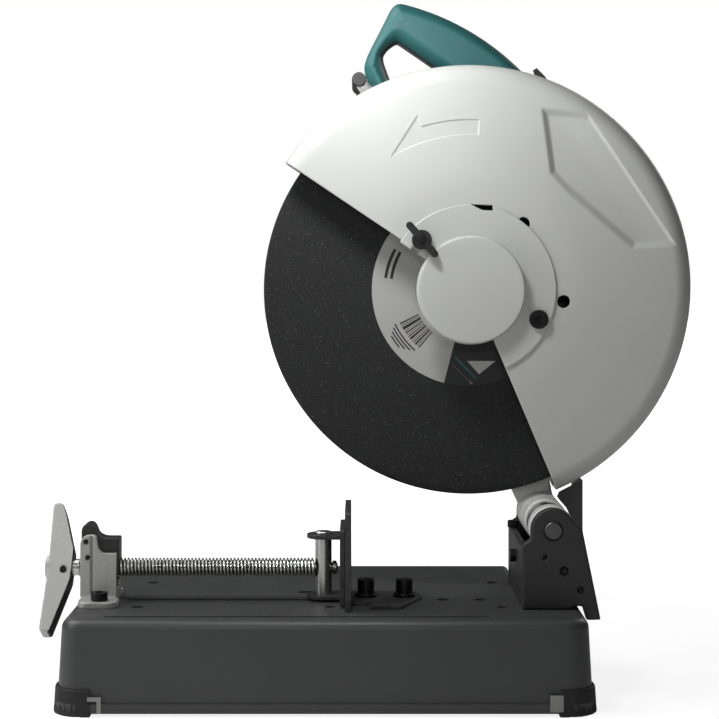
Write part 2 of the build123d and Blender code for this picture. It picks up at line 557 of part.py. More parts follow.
with BuildPart() as wheel_bolt:
    hexagon(facing((WHEEL_X, FLANGE_FRONT - 2.5, WHEEL_Z), (0, -1, 0)), 17, 7)
    rod_y(WHEEL_X, WHEEL_Z, FLANGE_FRONT - 2.5, FLANGE_FRONT, 13)
    rod_y(WHEEL_X, WHEEL_Z, FLANGE_FRONT, 4, 5)
save(wheel_bolt, "wheel_bolt")

with BuildPart() as wheel:
    ring_y(WHEEL_X, WHEEL_Z, WHEEL_FRONT, WHEEL_BACK, WHEEL_R, BORE_R)
save(wheel, "abrasive_wheel")

with BuildPart() as wheel_label:
    ring_y(WHEEL_X, WHEEL_Z, WHEEL_FRONT - 0.3, WHEEL_FRONT, LABEL_R, FLANGE_R + 0.5)
save(wheel_label, "wheel_label")


def gear_teeth(x, z, teeth, radius, start):
    """Trapezoid teeth round a gear, from just under its root circle."""
    half_root, half_tip = 0.26 * GEAR_MODULE * 3.1416, 0.11 * GEAR_MODULE * 3.1416
    with BuildSketch(xz(GEAR_Y1)) as ring:
        with Locations((x, z)):
            Circle(radius - 1.25 * GEAR_MODULE)
            with PolarLocations(0, teeth, start_angle=start):
                Polygon(
                    (radius - 1.6 * GEAR_MODULE, -half_root), (radius + 0.9 * GEAR_MODULE, -half_tip),
                    (radius + 0.9 * GEAR_MODULE, half_tip), (radius - 1.6 * GEAR_MODULE, half_root),
                    align=None,
                )
    extrude(ring.sketch, amount=GEAR_Y1 - GEAR_Y0)


with BuildPart() as drive_gear:
    gear_teeth(WHEEL_X, WHEEL_Z, GEAR_TEETH, GEAR_R, MOTOR_TILT)
    rod_y(WHEEL_X, WHEEL_Z, GEAR_Y0 - 1, GEAR_Y1 + 2, 16)
    rod_y(WHEEL_X, WHEEL_Z, 0, 40, SHAFT_R + 0.02, Mode.SUBTRACT)
    # holes that the shaft lock's pin drops into
    for hole_x, hole_z in screw_ring(WHEEL_X, WHEEL_Z, LOCK_PIN_X - WHEEL_X, range(0, 360, 60)):
        rod_y(hole_x, hole_z, GEAR_Y0 - 1, GEAR_Y1 + 1, 4.5, Mode.SUBTRACT)
save(drive_gear, "drive_gear")

# ---------------------------------------------------------------- armature group
CORE_Y0, CORE_Y1, CORE_R = 58, 92, 24
COMM_Y0, COMM_Y1, COMM_R = 98, 112, 13
FAN_Y0, FAN_Y1, FAN_R = 43, 52, 40
REAR_BEARING_Y0, REAR_BEARING_Y1 = 122, 130

with BuildPart() as armature_shaft:
    gear_teeth(MOTOR_X, MOTOR_Z, PINION_TEETH, PINION_R, MOTOR_TILT + 180 + 180 / PINION_TEETH)
    rod_y(MOTOR_X, MOTOR_Z, GEAR_Y0, REAR_BEARING_Y1, MOTOR_SHAFT_R)
save(armature_shaft, "armature_shaft")

with BuildPart() as armature_core:
    with BuildSketch(xz(CORE_Y1)):
        with Locations((MOTOR_X, MOTOR_Z)):
            Circle(CORE_R)
            Circle(MOTOR_SHAFT_R + 0.02, mode=Mode.SUBTRACT)
            with PolarLocations(CORE_R - 3, 12):
                Rectangle(8, 2.4, mode=Mode.SUBTRACT)
    extrude(amount=CORE_Y1 - CORE_Y0)
save(armature_core, "armature_core")

with BuildPart() as armature_winding:
    for coil_y0, coil_y1 in ((CORE_Y0 - 4.5, CORE_Y0), (CORE_Y1, CORE_Y1 + 4)):
        ring_y(MOTOR_X, MOTOR_Z, coil_y0, coil_y1, 20, MOTOR_SHAFT_R + 0.02)
save(armature_winding, "armature_winding")

with BuildPart() as commutator:
    with BuildSketch(xz(COMM_Y1)):
        with Locations((MOTOR_X, MOTOR_Z)):
            Circle(COMM_R)
            Circle(MOTOR_SHAFT_R + 0.02, mode=Mode.SUBTRACT)
            with PolarLocations(COMM_R, 24):
                Rectangle(2.5, 0.6, mode=Mode.SUBTRACT)
    extrude(amount=COMM_Y1 - COMM_Y0)
save(commutator, "commutator")

with BuildPart() as fan:
    rod_y(MOTOR_X, MOTOR_Z, FAN_Y0, FAN_Y0 + 1.5, FAN_R)
    rod_y(MOTOR_X, MOTOR_Z, FAN_Y0, FAN_Y1, 12)
    with BuildSketch(xz(FAN_Y1)):
        with Locations((MOTOR_X, MOTOR_Z)):
            with PolarLocations(26, 15):
                Rectangle(24, 1.6, rotation=25)
    extrude(amount=FAN_Y1 - FAN_Y0)
    rod_y(MOTOR_X, MOTOR_Z, FAN_Y0 - 1, FAN_Y1 + 1, MOTOR_SHAFT_R + 0.02, Mode.SUBTRACT)
save(fan, "cooling_fan")

with BuildPart() as armature_bearings:
    ring_y(MOTOR_X, MOTOR_Z, CASE_BACK - 4.5, COVER_BACK - 2, MOTOR_BEARING_R - 0.02, MOTOR_SHAFT_R + RUN)
    ring_y(MOTOR_X, MOTOR_Z, REAR_BEARING_Y0, REAR_BEARING_Y1, MOTOR_BEARING_R - 0.02, MOTOR_SHAFT_R + RUN)
save(armature_bearings, "armature_bearings")

# ---------------------------------------------------------------- motor
BRUSH_Y = (COMM_Y0 + COMM_Y1) / 2
HOLDER_R = 8

with BuildPart() as stator:
    ring_y(MOTOR_X, MOTOR_Z, CORE_Y0 - 2, CORE_Y1 + 2, MOTOR_R - MOTOR_WALL - 0.5, CORE_R + 1)
save(stator, "stator")

with BuildPart() as motor_housing:
    rod_y(MOTOR_X, MOTOR_Z, COVER_BACK, MOTOR_BACK, MOTOR_R)
    rod_y(MOTOR_X, MOTOR_Z, COVER_BACK - 1, MOTOR_BACK + 1, MOTOR_R - MOTOR_WALL, Mode.SUBTRACT)
    for side in (-1, 1):
        x0, x1 = sorted((MOTOR_X + side * 34, MOTOR_X + side * 53))
        rod_x(BRUSH_Y, MOTOR_Z, x0, x1, HOLDER_R + 3)
        rod_x(BRUSH_Y, MOTOR_Z, x0 - 5, x1 + 5, HOLDER_R, Mode.SUBTRACT)
    # stays that carry the field
    for turn in range(4):
        with Locations(Location((MOTOR_X, 0, MOTOR_Z), (0, 45 + 90 * turn, 0))):
            with Locations((MOTOR_R - 2.5, 49.5, 0)):
                Box(4, 12, 8)
    rod_y(WHEEL_X, WHEEL_Z, COVER_BACK - 1, COVER_BACK + 6.2, 17.2, Mode.SUBTRACT)
save(motor_housing, "motor_housing")

with BuildPart() as brush_holders:
    for side in (-1, 1):
        x0, x1 = sorted((MOTOR_X + side * 18, MOTOR_X + side * 50))
        rod_x(BRUSH_Y, MOTOR_Z, x0, x1, HOLDER_R - 0.02)
        block(x0 - 1, x1 + 1, BRUSH_Y - 3.1, BRUSH_Y + 3.1, MOTOR_Z - 5.1, MOTOR_Z + 5.1, Mode.SUBTRACT)
save(brush_holders, "brush_holders")

with BuildPart() as carbon_brushes:
    for side in (-1, 1):
        x0, x1 = sorted((MOTOR_X + side * (COMM_R + 0.3), MOTOR_X + side * 30))
        block(x0, x1, BRUSH_Y - 3, BRUSH_Y + 3, MOTOR_Z - 5, MOTOR_Z + 5)
save(carbon_brushes, "carbon_brushes")

with BuildPart() as brush_caps:
    for side in (-1, 1):
        x0, x1 = sorted((MOTOR_X + side * 50, MOTOR_X + side * 55))
        rod_x(BRUSH_Y, MOTOR_Z, x0, x1, HOLDER_R - 0.1)
        slot_x = MOTOR_X + side * 55
        block(slot_x - 1.5, slot_x + 1.5, BRUSH_Y - 6, BRUSH_Y + 6, MOTOR_Z - 0.8, MOTOR_Z + 0.8, Mode.SUBTRACT)
save(brush_caps, "brush_caps")

with BuildPart() as motor_end_cover:
    with BuildSketch(xz(MOTOR_BACK)):
        with Locations((MOTOR_X, MOTOR_Z)):
            Circle(MOTOR_R)
    extrude(amount=-(END_BACK - MOTOR_BACK), taper=8)
    fillet(motor_end_cover.faces().sort_by(Axis.Y)[-1].edges(), 6)
    with BuildSketch(xz(MOTOR_BACK)):
        with Locations((MOTOR_X, MOTOR_Z)):
            Circle(MOTOR_R - MOTOR_WALL)
    extrude(amount=-(END_BACK - MOTOR_BACK - 3.5), taper=8, mode=Mode.SUBTRACT)
    rod_y(MOTOR_X, MOTOR_Z, REAR_BEARING_Y0, END_BACK - 2, 15)
    rod_y(MOTOR_X, MOTOR_Z, REAR_BEARING_Y0 - 1, REAR_BEARING_Y1, MOTOR_BEARING_R, Mode.SUBTRACT)
    # air slots round the back
    with BuildSketch(xz(END_BACK + 1)):
        with Locations((MOTOR_X, MOTOR_Z)):
            with PolarLocations(25, 16):
                SlotOverall(13, 3.2)
    extrude(amount=6, mode=Mode.SUBTRACT)
save(motor_end_cover, "motor_end_cover")

# ---------------------------------------------------------------- wheel guard
GUARD_AXIS = Axis((GUARD_X, 0, GUARD_Z), (0, 1, 0))
GUARD_PLANE = Plane(origin=(GUARD_X, 0, GUARD_Z), x_dir=(1, 0, 0), z_dir=(0, 0, 1))


def guard_profile(grow, back):
    """Half section of the dished guard, as (radius, y), shrunk by the wall for its inside."""
    r_rim, front = GUARD_R - grow, GUARD_FRONT + grow
    r_round, shoulder = r_rim - RIM_ROUND, front + DISH
    with BuildLine() as half:
        Polyline((0, back), (0, front), (FLAT_R, front), (r_round, shoulder))
        RadiusArc((r_round, shoulder), (r_rim, shoulder + RIM_ROUND), -RIM_ROUND)
        Polyline((r_rim, shoulder + RIM_ROUND), (r_rim, back), (0, back))
    make_face(half.edges())


def guard_point(radius, turn):
    """A point on the guard's face, at a radius and an angle about its centre."""
    return GUARD_X + radius * cos(radians(turn)), GUARD_Z + radius * sin(radians(turn))


ARROW_IN, ARROW_OUT, ARROW_HEAD = 128.5, 142.3, 153.1
ARROW_FROM, ARROW_NECK, ARROW_TIP = 86.8, 106.9, 122.3
PANEL = [(150.5, 489), (180, 486), (256, 380), (228, 380.5), (174, 424), (158, 440)]
PANEL_FLOOR = -47
ARROW_DEPTH = 0.8
VENT_HOLES = [(130, 394.3), (164.1, 328.1)]
VENT_SLOT = [(84.5, 410.6), (104, 409.8), (104, 405.2), (95, 405.6)]
WEDGE = [guard_point(400, turn) for turn in (OPEN_FROM, 182.8, 219.6, 256.4, OPEN_TO)]

with BuildPart() as arrow_cut:
    with BuildSketch(xz(-45)) as arrow:
        with BuildLine() as edge:
            ThreePointArc(*(guard_point(ARROW_OUT, turn) for turn in (ARROW_FROM, 97, ARROW_NECK)))
            Polyline(
                guard_point(ARROW_OUT, ARROW_NECK), guard_point(ARROW_HEAD, ARROW_NECK),
                guard_point(ARROW_IN, ARROW_TIP),
            )
            ThreePointArc(*(guard_point(ARROW_IN, turn) for turn in (ARROW_TIP, 105, ARROW_FROM)))
            Line(guard_point(ARROW_IN, ARROW_FROM), guard_point(ARROW_OUT, ARROW_FROM))
        make_face(edge.edges())
    extrude(arrow.sketch, amount=20)
    with BuildSketch(GUARD_PLANE):
        guard_profile(ARROW_DEPTH, GUARD_REAR)
    revolve(axis=GUARD_AXIS, revolution_arc=360, mode=Mode.SUBTRACT)

with BuildPart() as wheel_guard:
    with BuildSketch(GUARD_PLANE):
        guard_profile(0, GUARD_REAR)
    revolve(axis=GUARD_AXIS, revolution_arc=360)
    with BuildSketch(GUARD_PLANE):
        guard_profile(GUARD_WALL, GUARD_REAR + 1)
    revolve(axis=GUARD_AXIS, revolution_arc=360, mode=Mode.SUBTRACT)
    # the pressed panel needs metal behind it before it is sunk into the face
    with BuildSketch(xz(PANEL_FLOOR + 2.2)) as pad:
        with BuildLine():
            Polyline(*PANEL, close=True)
        make_face()
        offset(amount=2)
    extrude(amount=3)
    prism(xz(0), [(GUARD_X, GUARD_Z)] + WEDGE, 80, Mode.SUBTRACT)
    rod_y(WHEEL_X, WHEEL_Z, -80, 0, 38, Mode.SUBTRACT)
    add(arrow_cut.part, mode=Mode.SUBTRACT)
    with BuildSketch(xz(PANEL_FLOOR)) as panel:
        with BuildLine():
            Polyline(*PANEL, close=True)
        make_face()
    extrude(amount=6, taper=-45, mode=Mode.SUBTRACT)
    for hole_x, hole_z in VENT_HOLES:
        rod_y(hole_x, hole_z, -60, -45, 5.5, Mode.SUBTRACT)
    prism(xz(-45), VENT_SLOT, 15, Mode.SUBTRACT)
    rod_y(HINGE_X, HINGE_Z, -60, -40, 4.02, Mode.SUBTRACT)
    rod_y(WING_X, WING_Z, -60, -40, 3.02, Mode.SUBTRACT)
save(wheel_guard, "wheel_guard")

GUARD_SCREWS = screw_ring(WHEEL_X, WHEEL_Z, 52, (20, 60, 130, 330))
CASE_SCREWS = screw_ring(WHEEL_X, WHEEL_Z, 50.5, (200, 250, 300, 350))
END_SCREWS = screw_ring(MOTOR_X, MOTOR_Z, 35.5, (45, 135, 225, 315))

with BuildPart() as guard_back:
    with BuildSketch(xz(CASE_FRONT)):
        with Locations((GUARD_X, GUARD_Z)):
            Circle(GUARD_R - GUARD_WALL - 0.05)
        with BuildLine():
            Polyline((GUARD_X, GUARD_Z), *WEDGE, close=True)
        make_face(mode=Mode.SUBTRACT)
        with Locations((WHEEL_X, WHEEL_Z)):
            Circle(60)
            Circle(44, mode=Mode.SUBTRACT)
    extrude(amount=3)
    for screw_x, screw_z in GUARD_SCREWS:
        rod_y(screw_x, screw_z, CASE_FRONT - 4, CASE_FRONT + 1, 2.52, Mode.SUBTRACT)
save(guard_back, "guard_back")

with BuildPart() as case_screws:
    for screw_x, screw_z in CASE_SCREWS:
        hexagon(facing((screw_x, COVER_BACK, screw_z), (0, 1, 0)), 7, 3.5)
    for screw_x, screw_z in END_SCREWS:
        rod_y(screw_x, screw_z, END_BACK, END_BACK + 0.8, 3)
    for screw_x, screw_z in GUARD_SCREWS:
        rod_y(screw_x, screw_z, CASE_FRONT - 3, CASE_FRONT, 2.5)
        rod_y(screw_x, screw_z, CASE_FRONT - 5, CASE_FRONT - 3, 4.5)
save(case_screws, "case_screws")

# ---------------------------------------------------------------- centre cover
HINGE_DX, HINGE_DZ = WING_X - HINGE_X, WING_Z - HINGE_Z
FORK_R = hypot(HINGE_DX, HINGE_DZ)
FORK_FROM = degrees(atan2(HINGE_DZ, HINGE_DX))
COVER_BACK_Y = GUARD_FRONT - 0.3

with BuildPart() as centre_cover:
    with BuildSketch(xz(COVER_BACK_Y)):
        with Locations((WHEEL_X, WHEEL_Z)):
            Circle(COVER_R)
        with BuildLine():
            Polyline((WHEEL_X, WHEEL_Z), *WEDGE, close=True)
        make_face(mode=Mode.SUBTRACT)
        with Locations((WHEEL_X, WHEEL_Z)):
            Circle(CAP_R)
    extrude(amount=COVER_BACK_Y - COVER_FRONT)
    with BuildSketch(xz(COVER_FRONT)):
        with Locations((WHEEL_X, WHEEL_Z)):
            Circle(CAP_R)
    extrude(amount=COVER_FRONT - CAP_FRONT, taper=4)
    fillet(centre_cover.faces().sort_by(Axis.Y)[0].edges(), 1.8)
    prism(xz(-50), VENT_SLOT, 10, Mode.SUBTRACT)
    rod_y(WHEEL_X, WHEEL_Z, CAP_FRONT + 2, GUARD_FRONT + 1, CAP_R - 4, Mode.SUBTRACT)
    rod_y(HINGE_X, HINGE_Z, -70, -50, 4.05, Mode.SUBTRACT)
    # open slot that lets the cover swing off the wing nut's stud
    with BuildSketch(xz(-50)):
        with BuildLine():
            CenterArc((HINGE_X, HINGE_Z), FORK_R, FORK_FROM, 14)
        trace(line_width=7)
        with Locations((WING_X, WING_Z)):
            Circle(3.5)
    extrude(amount=12, mode=Mode.SUBTRACT)
save(centre_cover, "centre_cover")

with BuildPart() as cover_studs:
    socket_screw(facing((HINGE_X, COVER_FRONT - 0.2, HINGE_Z), (0, -1, 0)), 8, 3.2, 4, 8)
    # stud of the wing nut
    rod_y(WING_X, WING_Z, -76, GUARD_FRONT + GUARD_WALL, 3)
    rod_y(WING_X, WING_Z, GUARD_FRONT + GUARD_WALL, GUARD_FRONT + GUARD_WALL + 3, 6)
save(cover_studs, "cover_studs")

WING_LEAN = -49

with BuildPart() as wing_nut:
    rod_y(WING_X, WING_Z, -68, COVER_FRONT - 0.3, 8.3)
    with BuildSketch(xz(-67)):
        with Locations(Location((WING_X, WING_Z), WING_LEAN)):
            SlotOverall(38, 6)
    extrude(amount=7)
    rod_y(WING_X, WING_Z, -80, -50, 3 + RUN, Mode.SUBTRACT)
save(wing_nut, "wing_nut")

# ---------------------------------------------------------------- handle
OPENING = [
    (8.8, 543.4), (14.5, 552.6), (23.2, 558.4), (28.4, 556.2), (88, 515), (86, 498), (72, 482), (44, 478),
    (30, 488), (16.4, 522.6),
]
OPENING_INSET = 2.2                    # the back half's opening is smaller by this all round
HANDLE_WALL = 3.2
GRIP_MID = (GRIP_Y0 + GRIP_Y1) / 2
TRIGGER_LEAN = degrees(atan2(515 - 556.2, 88 - 28.4))
TRIGGER_PLANE = Plane(
    origin=(72, GRIP_MID, 526.07),
    x_dir=(cos(radians(TRIGGER_LEAN)), 0, sin(radians(TRIGGER_LEAN))),
    z_dir=(-sin(radians(TRIGGER_LEAN)), 0, cos(radians(TRIGGER_LEAN))),
)
HANDLE_SCREWS = [(30, 574), (3, 532), (104, 545), (40, 456), (138, 500)]
LOCK_X, LOCK_Z = 118, 528
INLET_Z = 490


def handle_outline():
    """The handle's outside: a long curved top, a curved heel, a straight root and a curved nose."""
    with BuildLine() as outside:
        ThreePointArc((26, 592.7), (92.6, 565.6), (141, 526))
        ThreePointArc((141, 526), (150, 506), (146, 480))
        Polyline((146, 480), (134, 456), (118, 436), (34, 436), (3.4, 515.9))
        ThreePointArc((3.4, 515.9), (-5.2, 534), (-1.9, 546.4))
        Polyline((-1.9, 546.4), (12, 573.1), (19.4, 588.3), (26, 592.7))
    make_face(outside.edges())


def opening_face():
    """The finger opening, as a face to cut with."""
    with BuildLine() as edge:
        Polyline(*OPENING, close=True)
    return make_face(edge.edges(), mode=Mode.PRIVATE)


def handle_half(front, back, rim_back, inset):
    """One half of the handle: a side wall, with rims round its outline and round the opening.

    rim_back is the y of the hollow's back end, so the hollow opens towards the other half. The opening is
    smaller than the front's by the inset.
    """
    with BuildSketch(xz(back)) as side:
        handle_outline()
        offset(opening_face(), amount=-inset, mode=Mode.SUBTRACT)
    extrude(side.sketch, amount=back - front)
    with BuildSketch(xz(rim_back)) as hollow:
        handle_outline()
        offset(amount=-HANDLE_WALL, mode=Mode.REPLACE)
        offset(opening_face(), amount=HANDLE_WALL - inset, mode=Mode.SUBTRACT)
    extrude(hollow.sketch, amount=back - front - HANDLE_WALL, mode=Mode.SUBTRACT)
    # the handle sits round the gear case and the motor
    hull_case(front - 1, COVER_BACK + 0.1, CASE_WALL + 0.1, Mode.SUBTRACT)
    rod_y(MOTOR_X, MOTOR_Z, front - 1, back + 1, MOTOR_R + 0.1, Mode.SUBTRACT)
    rod_x(GRIP_MID, INLET_Z, 140, 170, 8, Mode.SUBTRACT)


def trigger_window():
    """The window in the grip's underside that the trigger comes through."""
    with BuildSketch(TRIGGER_PLANE) as window:
        Rectangle(26.8, 12.8)
    extrude(window.sketch, amount=9, both=True, mode=Mode.SUBTRACT)


with BuildPart() as handle_front:
    handle_half(GRIP_Y0, GRIP_MID, GRIP_MID, 0)
    for screw_x, screw_z in HANDLE_SCREWS:
        rod_y(screw_x, screw_z, GRIP_Y0 + 1, GRIP_MID, 4)
    trigger_window()
save(handle_front, "handle_front")

with BuildPart() as handle_back:
    handle_half(GRIP_MID, GRIP_Y1, GRIP_Y1 - HANDLE_WALL, OPENING_INSET)
    for screw_x, screw_z in HANDLE_SCREWS:
        rod_y(screw_x, screw_z, GRIP_MID, GRIP_Y1 - 1, 4)
        rod_y(screw_x, screw_z, GRIP_Y1 - 3, GRIP_Y1 + 1, 3.6, Mode.SUBTRACT)
    trigger_window()
    rod_y(LOCK_X, LOCK_Z, GRIP_Y1 - 8, GRIP_Y1 + 1, 4.8, Mode.SUBTRACT)
save(handle_back, "handle_back")

with BuildPart() as handle_screws:
    for screw_x, screw_z in HANDLE_SCREWS:
        rod_y(screw_x, screw_z, GRIP_Y1 - 3, GRIP_Y1 - 0.6, 3.5)
        hexagon(facing((screw_x, GRIP_Y1 - 0.6, screw_z), (0, -1, 0)), 3, 1.2, Mode.SUBTRACT)
save(handle_screws, "handle_screws")

with BuildPart() as trigger:
    with BuildSketch(TRIGGER_PLANE.offset(-8)):
        RectangleRounded(26, 12, 2.5)
    extrude(amount=13)
save(trigger, "trigger")

with BuildPart() as lock_button:
    rod_y(LOCK_X, LOCK_Z, GRIP_Y1 - 8, GRIP_Y1 + 3, 4.5)
    chamfer(lock_button.faces().sort_by(Axis.Y)[-1].edges(), 1)
save(lock_button, "lock_button")

with BuildPart() as switch:
    with BuildSketch(TRIGGER_PLANE.offset(11)):
        Rectangle(24, 22)
    extrude(amount=12)
save(switch, "switch")

with BuildPart() as cord_inlet:
    rod_x(GRIP_MID, INLET_Z, 143, 166, 7.9)
    rod_x(GRIP_MID, INLET_Z, 151, 167, 4, Mode.SUBTRACT)
save(cord_inlet, "cord_inlet")

# ---------------------------------------------------------------- carry handle and small pieces
CARRY_X, CARRY_Z, CARRY_R = -9.5, 527.8, 6.5
CARRY_Y0, CARRY_Y1 = 42, 117
STRAP_FOOT_X, STRAP_FOOT_Z = 30, 462
STRAP_LEAN = degrees(atan2(CARRY_Z - STRAP_FOOT_Z, CARRY_X - STRAP_FOOT_X))
STRAP_LEN = hypot(CARRY_Z - STRAP_FOOT_Z, CARRY_X - STRAP_FOOT_X)

with BuildPart() as carry_grip:
    ring_y(CARRY_X, CARRY_Z, CARRY_Y0 + 3.1, CARRY_Y1 - 3.1, CARRY_R, 3.05)
save(carry_grip, "carry_grip")

with BuildPart() as carry_rod:
    rod_y(CARRY_X, CARRY_Z, CARRY_Y0 - 3, CARRY_Y1 + 3, 3)
    rod_y(CARRY_X, CARRY_Z, GRIP_Y1 + 0.2, CARRY_Y0, 6)
    rod_y(CARRY_X, CARRY_Z, CARRY_Y1, CARRY_Y1 + 4, 5.5)
save(carry_rod, "carry_rod")

with BuildPart() as carry_straps:
    for strap_y in (CARRY_Y0 + 3, CARRY_Y1):
        with BuildSketch(xz(strap_y)):
            with Locations(Location(((CARRY_X + STRAP_FOOT_X) / 2, (CARRY_Z + STRAP_FOOT_Z) / 2), STRAP_LEAN)):
                SlotOverall(STRAP_LEN + 12, 11)
        extrude(amount=3)
    # feet that bolt to the motor
    block(22, 40, CARRY_Y0, CARRY_Y1, 436, 466)
    rod_y(MOTOR_X, MOTOR_Z, CARRY_Y0 - 1, CARRY_Y1 + 1, MOTOR_R + 0.05, Mode.SUBTRACT)
    rod_y(CARRY_X, CARRY_Z, 0, 120, 3.02, Mode.SUBTRACT)
save(carry_straps, "carry_straps")

with BuildPart() as wrench_clip:
    prism(xz(1.3), [(143.5, 530.5), (146.5, 532.5), (154, 525), (158, 518), (150, 513)], 3.8)
save(wrench_clip, "wrench_clip")

with BuildPart() as shaft_lock:
    rod_y(LOCK_PIN_X, LOCK_PIN_Z, GEAR_Y1 + 2, COVER_BACK + 10, 3.5)
    rod_y(LOCK_PIN_X, LOCK_PIN_Z, COVER_BACK + 10, COVER_BACK + 18, 7)
    chamfer(shaft_lock.faces().sort_by(Axis.Y)[-1].edges(), 1)
save(shaft_lock, "shaft_lock")

SPRING_WIRE, SPRING_MEAN, SPRING_TURNS = 1.5, 15.4, 5
SPRING_PITCH = (SPRING_Y1 - SPRING_Y0 - 2) / SPRING_TURNS

with BuildPart() as return_spring:
    with BuildLine() as coil:
        Helix(
            SPRING_PITCH, SPRING_PITCH * SPRING_TURNS, SPRING_MEAN,
            center=(PIVOT_X, SPRING_Y0 + 1, PIVOT_Z), direction=(0, 1, 0),
        )
    with BuildSketch(Plane(origin=coil.line @ 0, z_dir=coil.line % 0)):
        Circle(SPRING_WIRE)
    sweep(is_frenet=True)
save(return_spring, "return_spring")
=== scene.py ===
import json
import math

import bmesh
import bpy
import numpy as np
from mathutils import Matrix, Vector
from mathutils.geometry import delaunay_2d_cdt


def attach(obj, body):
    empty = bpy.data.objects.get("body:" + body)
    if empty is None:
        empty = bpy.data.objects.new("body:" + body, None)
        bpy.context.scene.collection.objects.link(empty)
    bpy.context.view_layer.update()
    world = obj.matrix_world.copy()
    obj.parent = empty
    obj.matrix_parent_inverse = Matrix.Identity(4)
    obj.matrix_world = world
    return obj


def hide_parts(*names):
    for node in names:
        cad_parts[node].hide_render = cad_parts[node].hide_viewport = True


# Abrasive chop saw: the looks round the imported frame. Meshes are laid out in millimetres, in the part's own
# frame, and turned into metres by mesh_object.
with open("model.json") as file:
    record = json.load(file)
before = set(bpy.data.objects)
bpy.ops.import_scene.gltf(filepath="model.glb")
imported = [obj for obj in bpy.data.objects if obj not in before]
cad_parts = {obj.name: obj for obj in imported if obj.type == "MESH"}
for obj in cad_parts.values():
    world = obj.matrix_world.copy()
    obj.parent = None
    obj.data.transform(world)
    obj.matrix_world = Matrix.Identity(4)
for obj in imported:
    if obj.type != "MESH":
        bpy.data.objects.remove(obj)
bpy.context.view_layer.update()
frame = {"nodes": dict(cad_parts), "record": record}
MM = 0.001
NODES = frame["nodes"]
BODY_OF = {node: body for body, group in frame["record"]["behaviour"]["bodies"].items() for node in group}
SLOT_OF = {part["node"]: part["material_slot"] for part in frame["record"]["subparts"]}

# driving sizes of the part, in millimetres
WHEEL_X, WHEEL_Z = 85.3, 338
LABEL_R, LABEL_BORE, LABEL_FRONT = 83.6, 40.5, -18.3
GUARD_X, GUARD_Z, GUARD_R = 85.2, 341, 190.3
GUARD_FRONT, GUARD_REAR, GUARD_WALL = -54, -3, 2
FLAT_R, DISH, RIM_ROUND = 92, 5, 17
OPEN_FROM, OPEN_TO = 146, 293.1
CAP_R, COVER_R = 45.8, 72.5
COVER_FRONT, COVER_BACK, CAP_FRONT = -56.2, -54.3, -66
HINGE_X, HINGE_Z = 142.7, 313.1
WING_X, WING_Z = 43.5, 380.4
VENT_R, FORK_R, HINGE_HOLE_R = 5.5, 3.5, 4.05
VISE_Y, VISE_Z = -50.5, 102.5
THREAD_FROM, THREAD_TO, THREAD_PITCH = -246.5, -47.6, 3
THREAD_R, THREAD_ROOT = 8, 5.9
GRIP_Y0, GRIP_MID, GRIP_Y1 = 2, 20, 38


# ---------------------------------------------------------------- camera, floor and light
def build_camera():
    """A long lens, level with the lower half of the wheel, straight in front of the guard."""
    data = bpy.data.cameras.new("camera")
    data.lens = 85.1
    data.sensor_width = 36
    data.shift_y = -0.1175
    data.clip_end = 60
    camera = bpy.data.objects.new("camera", data)
    camera.location = (-0.009, -1.4945, 0.3507)
    camera.rotation_euler = (math.pi / 2, 0, 0)
    bpy.context.scene.collection.objects.link(camera)
    bpy.context.scene.camera = camera


def lamp(name, kind, place, aim, power, **settings):
    """A lamp at a place, turned towards the point it lights."""
    data = bpy.data.lights.new(name, kind)
    data.energy = power
    for setting, value in settings.items():
        setattr(data, setting, value)
    light = bpy.data.objects.new(name, data)
    light.location = place
    light.rotation_euler = (Vector(aim) - Vector(place)).to_track_quat("-Z", "Y").to_euler()
    bpy.context.scene.collection.objects.link(light)


def build_studio():
    """A white floor and surround, a lamp close to the guard's upper left and weaker light from elsewhere."""
    world = bpy.data.worlds.new("surround")
    bpy.context.scene.world = world
    world.use_nodes = True
    tree = world.node_tree
    dim = tree.nodes["Background"]
    dim.inputs["Color"].default_value = (1, 1, 1, 1)
    dim.inputs["Strength"].default_value = 0.035
    white = tree.nodes.new("ShaderNodeBackground")
    white.inputs["Strength"].default_value = 1.0
    white.inputs["Color"].default_value = (1, 1, 1, 1)
    mix = tree.nodes.new("ShaderNodeMixShader")
    tree.links.new(tree.nodes.new("ShaderNodeLightPath").outputs["Is Camera Ray"], mix.inputs["Fac"])
    tree.links.new(dim.outputs[0], mix.inputs[1])
    tree.links.new(white.outputs[0], mix.inputs[2])
    tree.links.new(mix.outputs[0], tree.nodes["World Output"].inputs["Surface"])
    bpy.context.scene.view_settings.view_transform = "Standard"
    lamp("key", "POINT", (-0.05, -0.245, 0.625), (0, 0, 0.5), 3.4, shadow_soft_size=0.05)
    lamp("overhead", "AREA", (-0.85, 0.1, 1.1), (-0.2, 0, 0.08), 11, shape="SQUARE", size=0.9)
    lamp("front", "POINT", (0.03, -1.52, 0.6), (0, 0, 0), 5.4, shadow_soft_size=0.02)
    lamp("side", "AREA", (-1.2, -0.5, 0.5), (-0.2, -0.1, 0.08), 2.5, shape="SQUARE", size=0.5)
    lamp("low", "SPOT", (-0.2, -1.45, 1.0), (-0.15, -0.05, 0.06), 9,
         spot_size=0.32, spot_blend=1, shadow_soft_size=0.12)
    lamp("rear", "AREA", (1.2, 1.6, 1.2), (0, 0, 0.25), 6, shape="SQUARE", size=1.0)
    corners = [(-12000, -12000, 0), (12000, -12000, 0), (12000, 12000, 0), (-12000, 12000, 0)]
    floor = mesh_object("floor", corners, [(0, 1, 2, 3)], smooth=False)
    floor.data.materials.append(floor_finish())


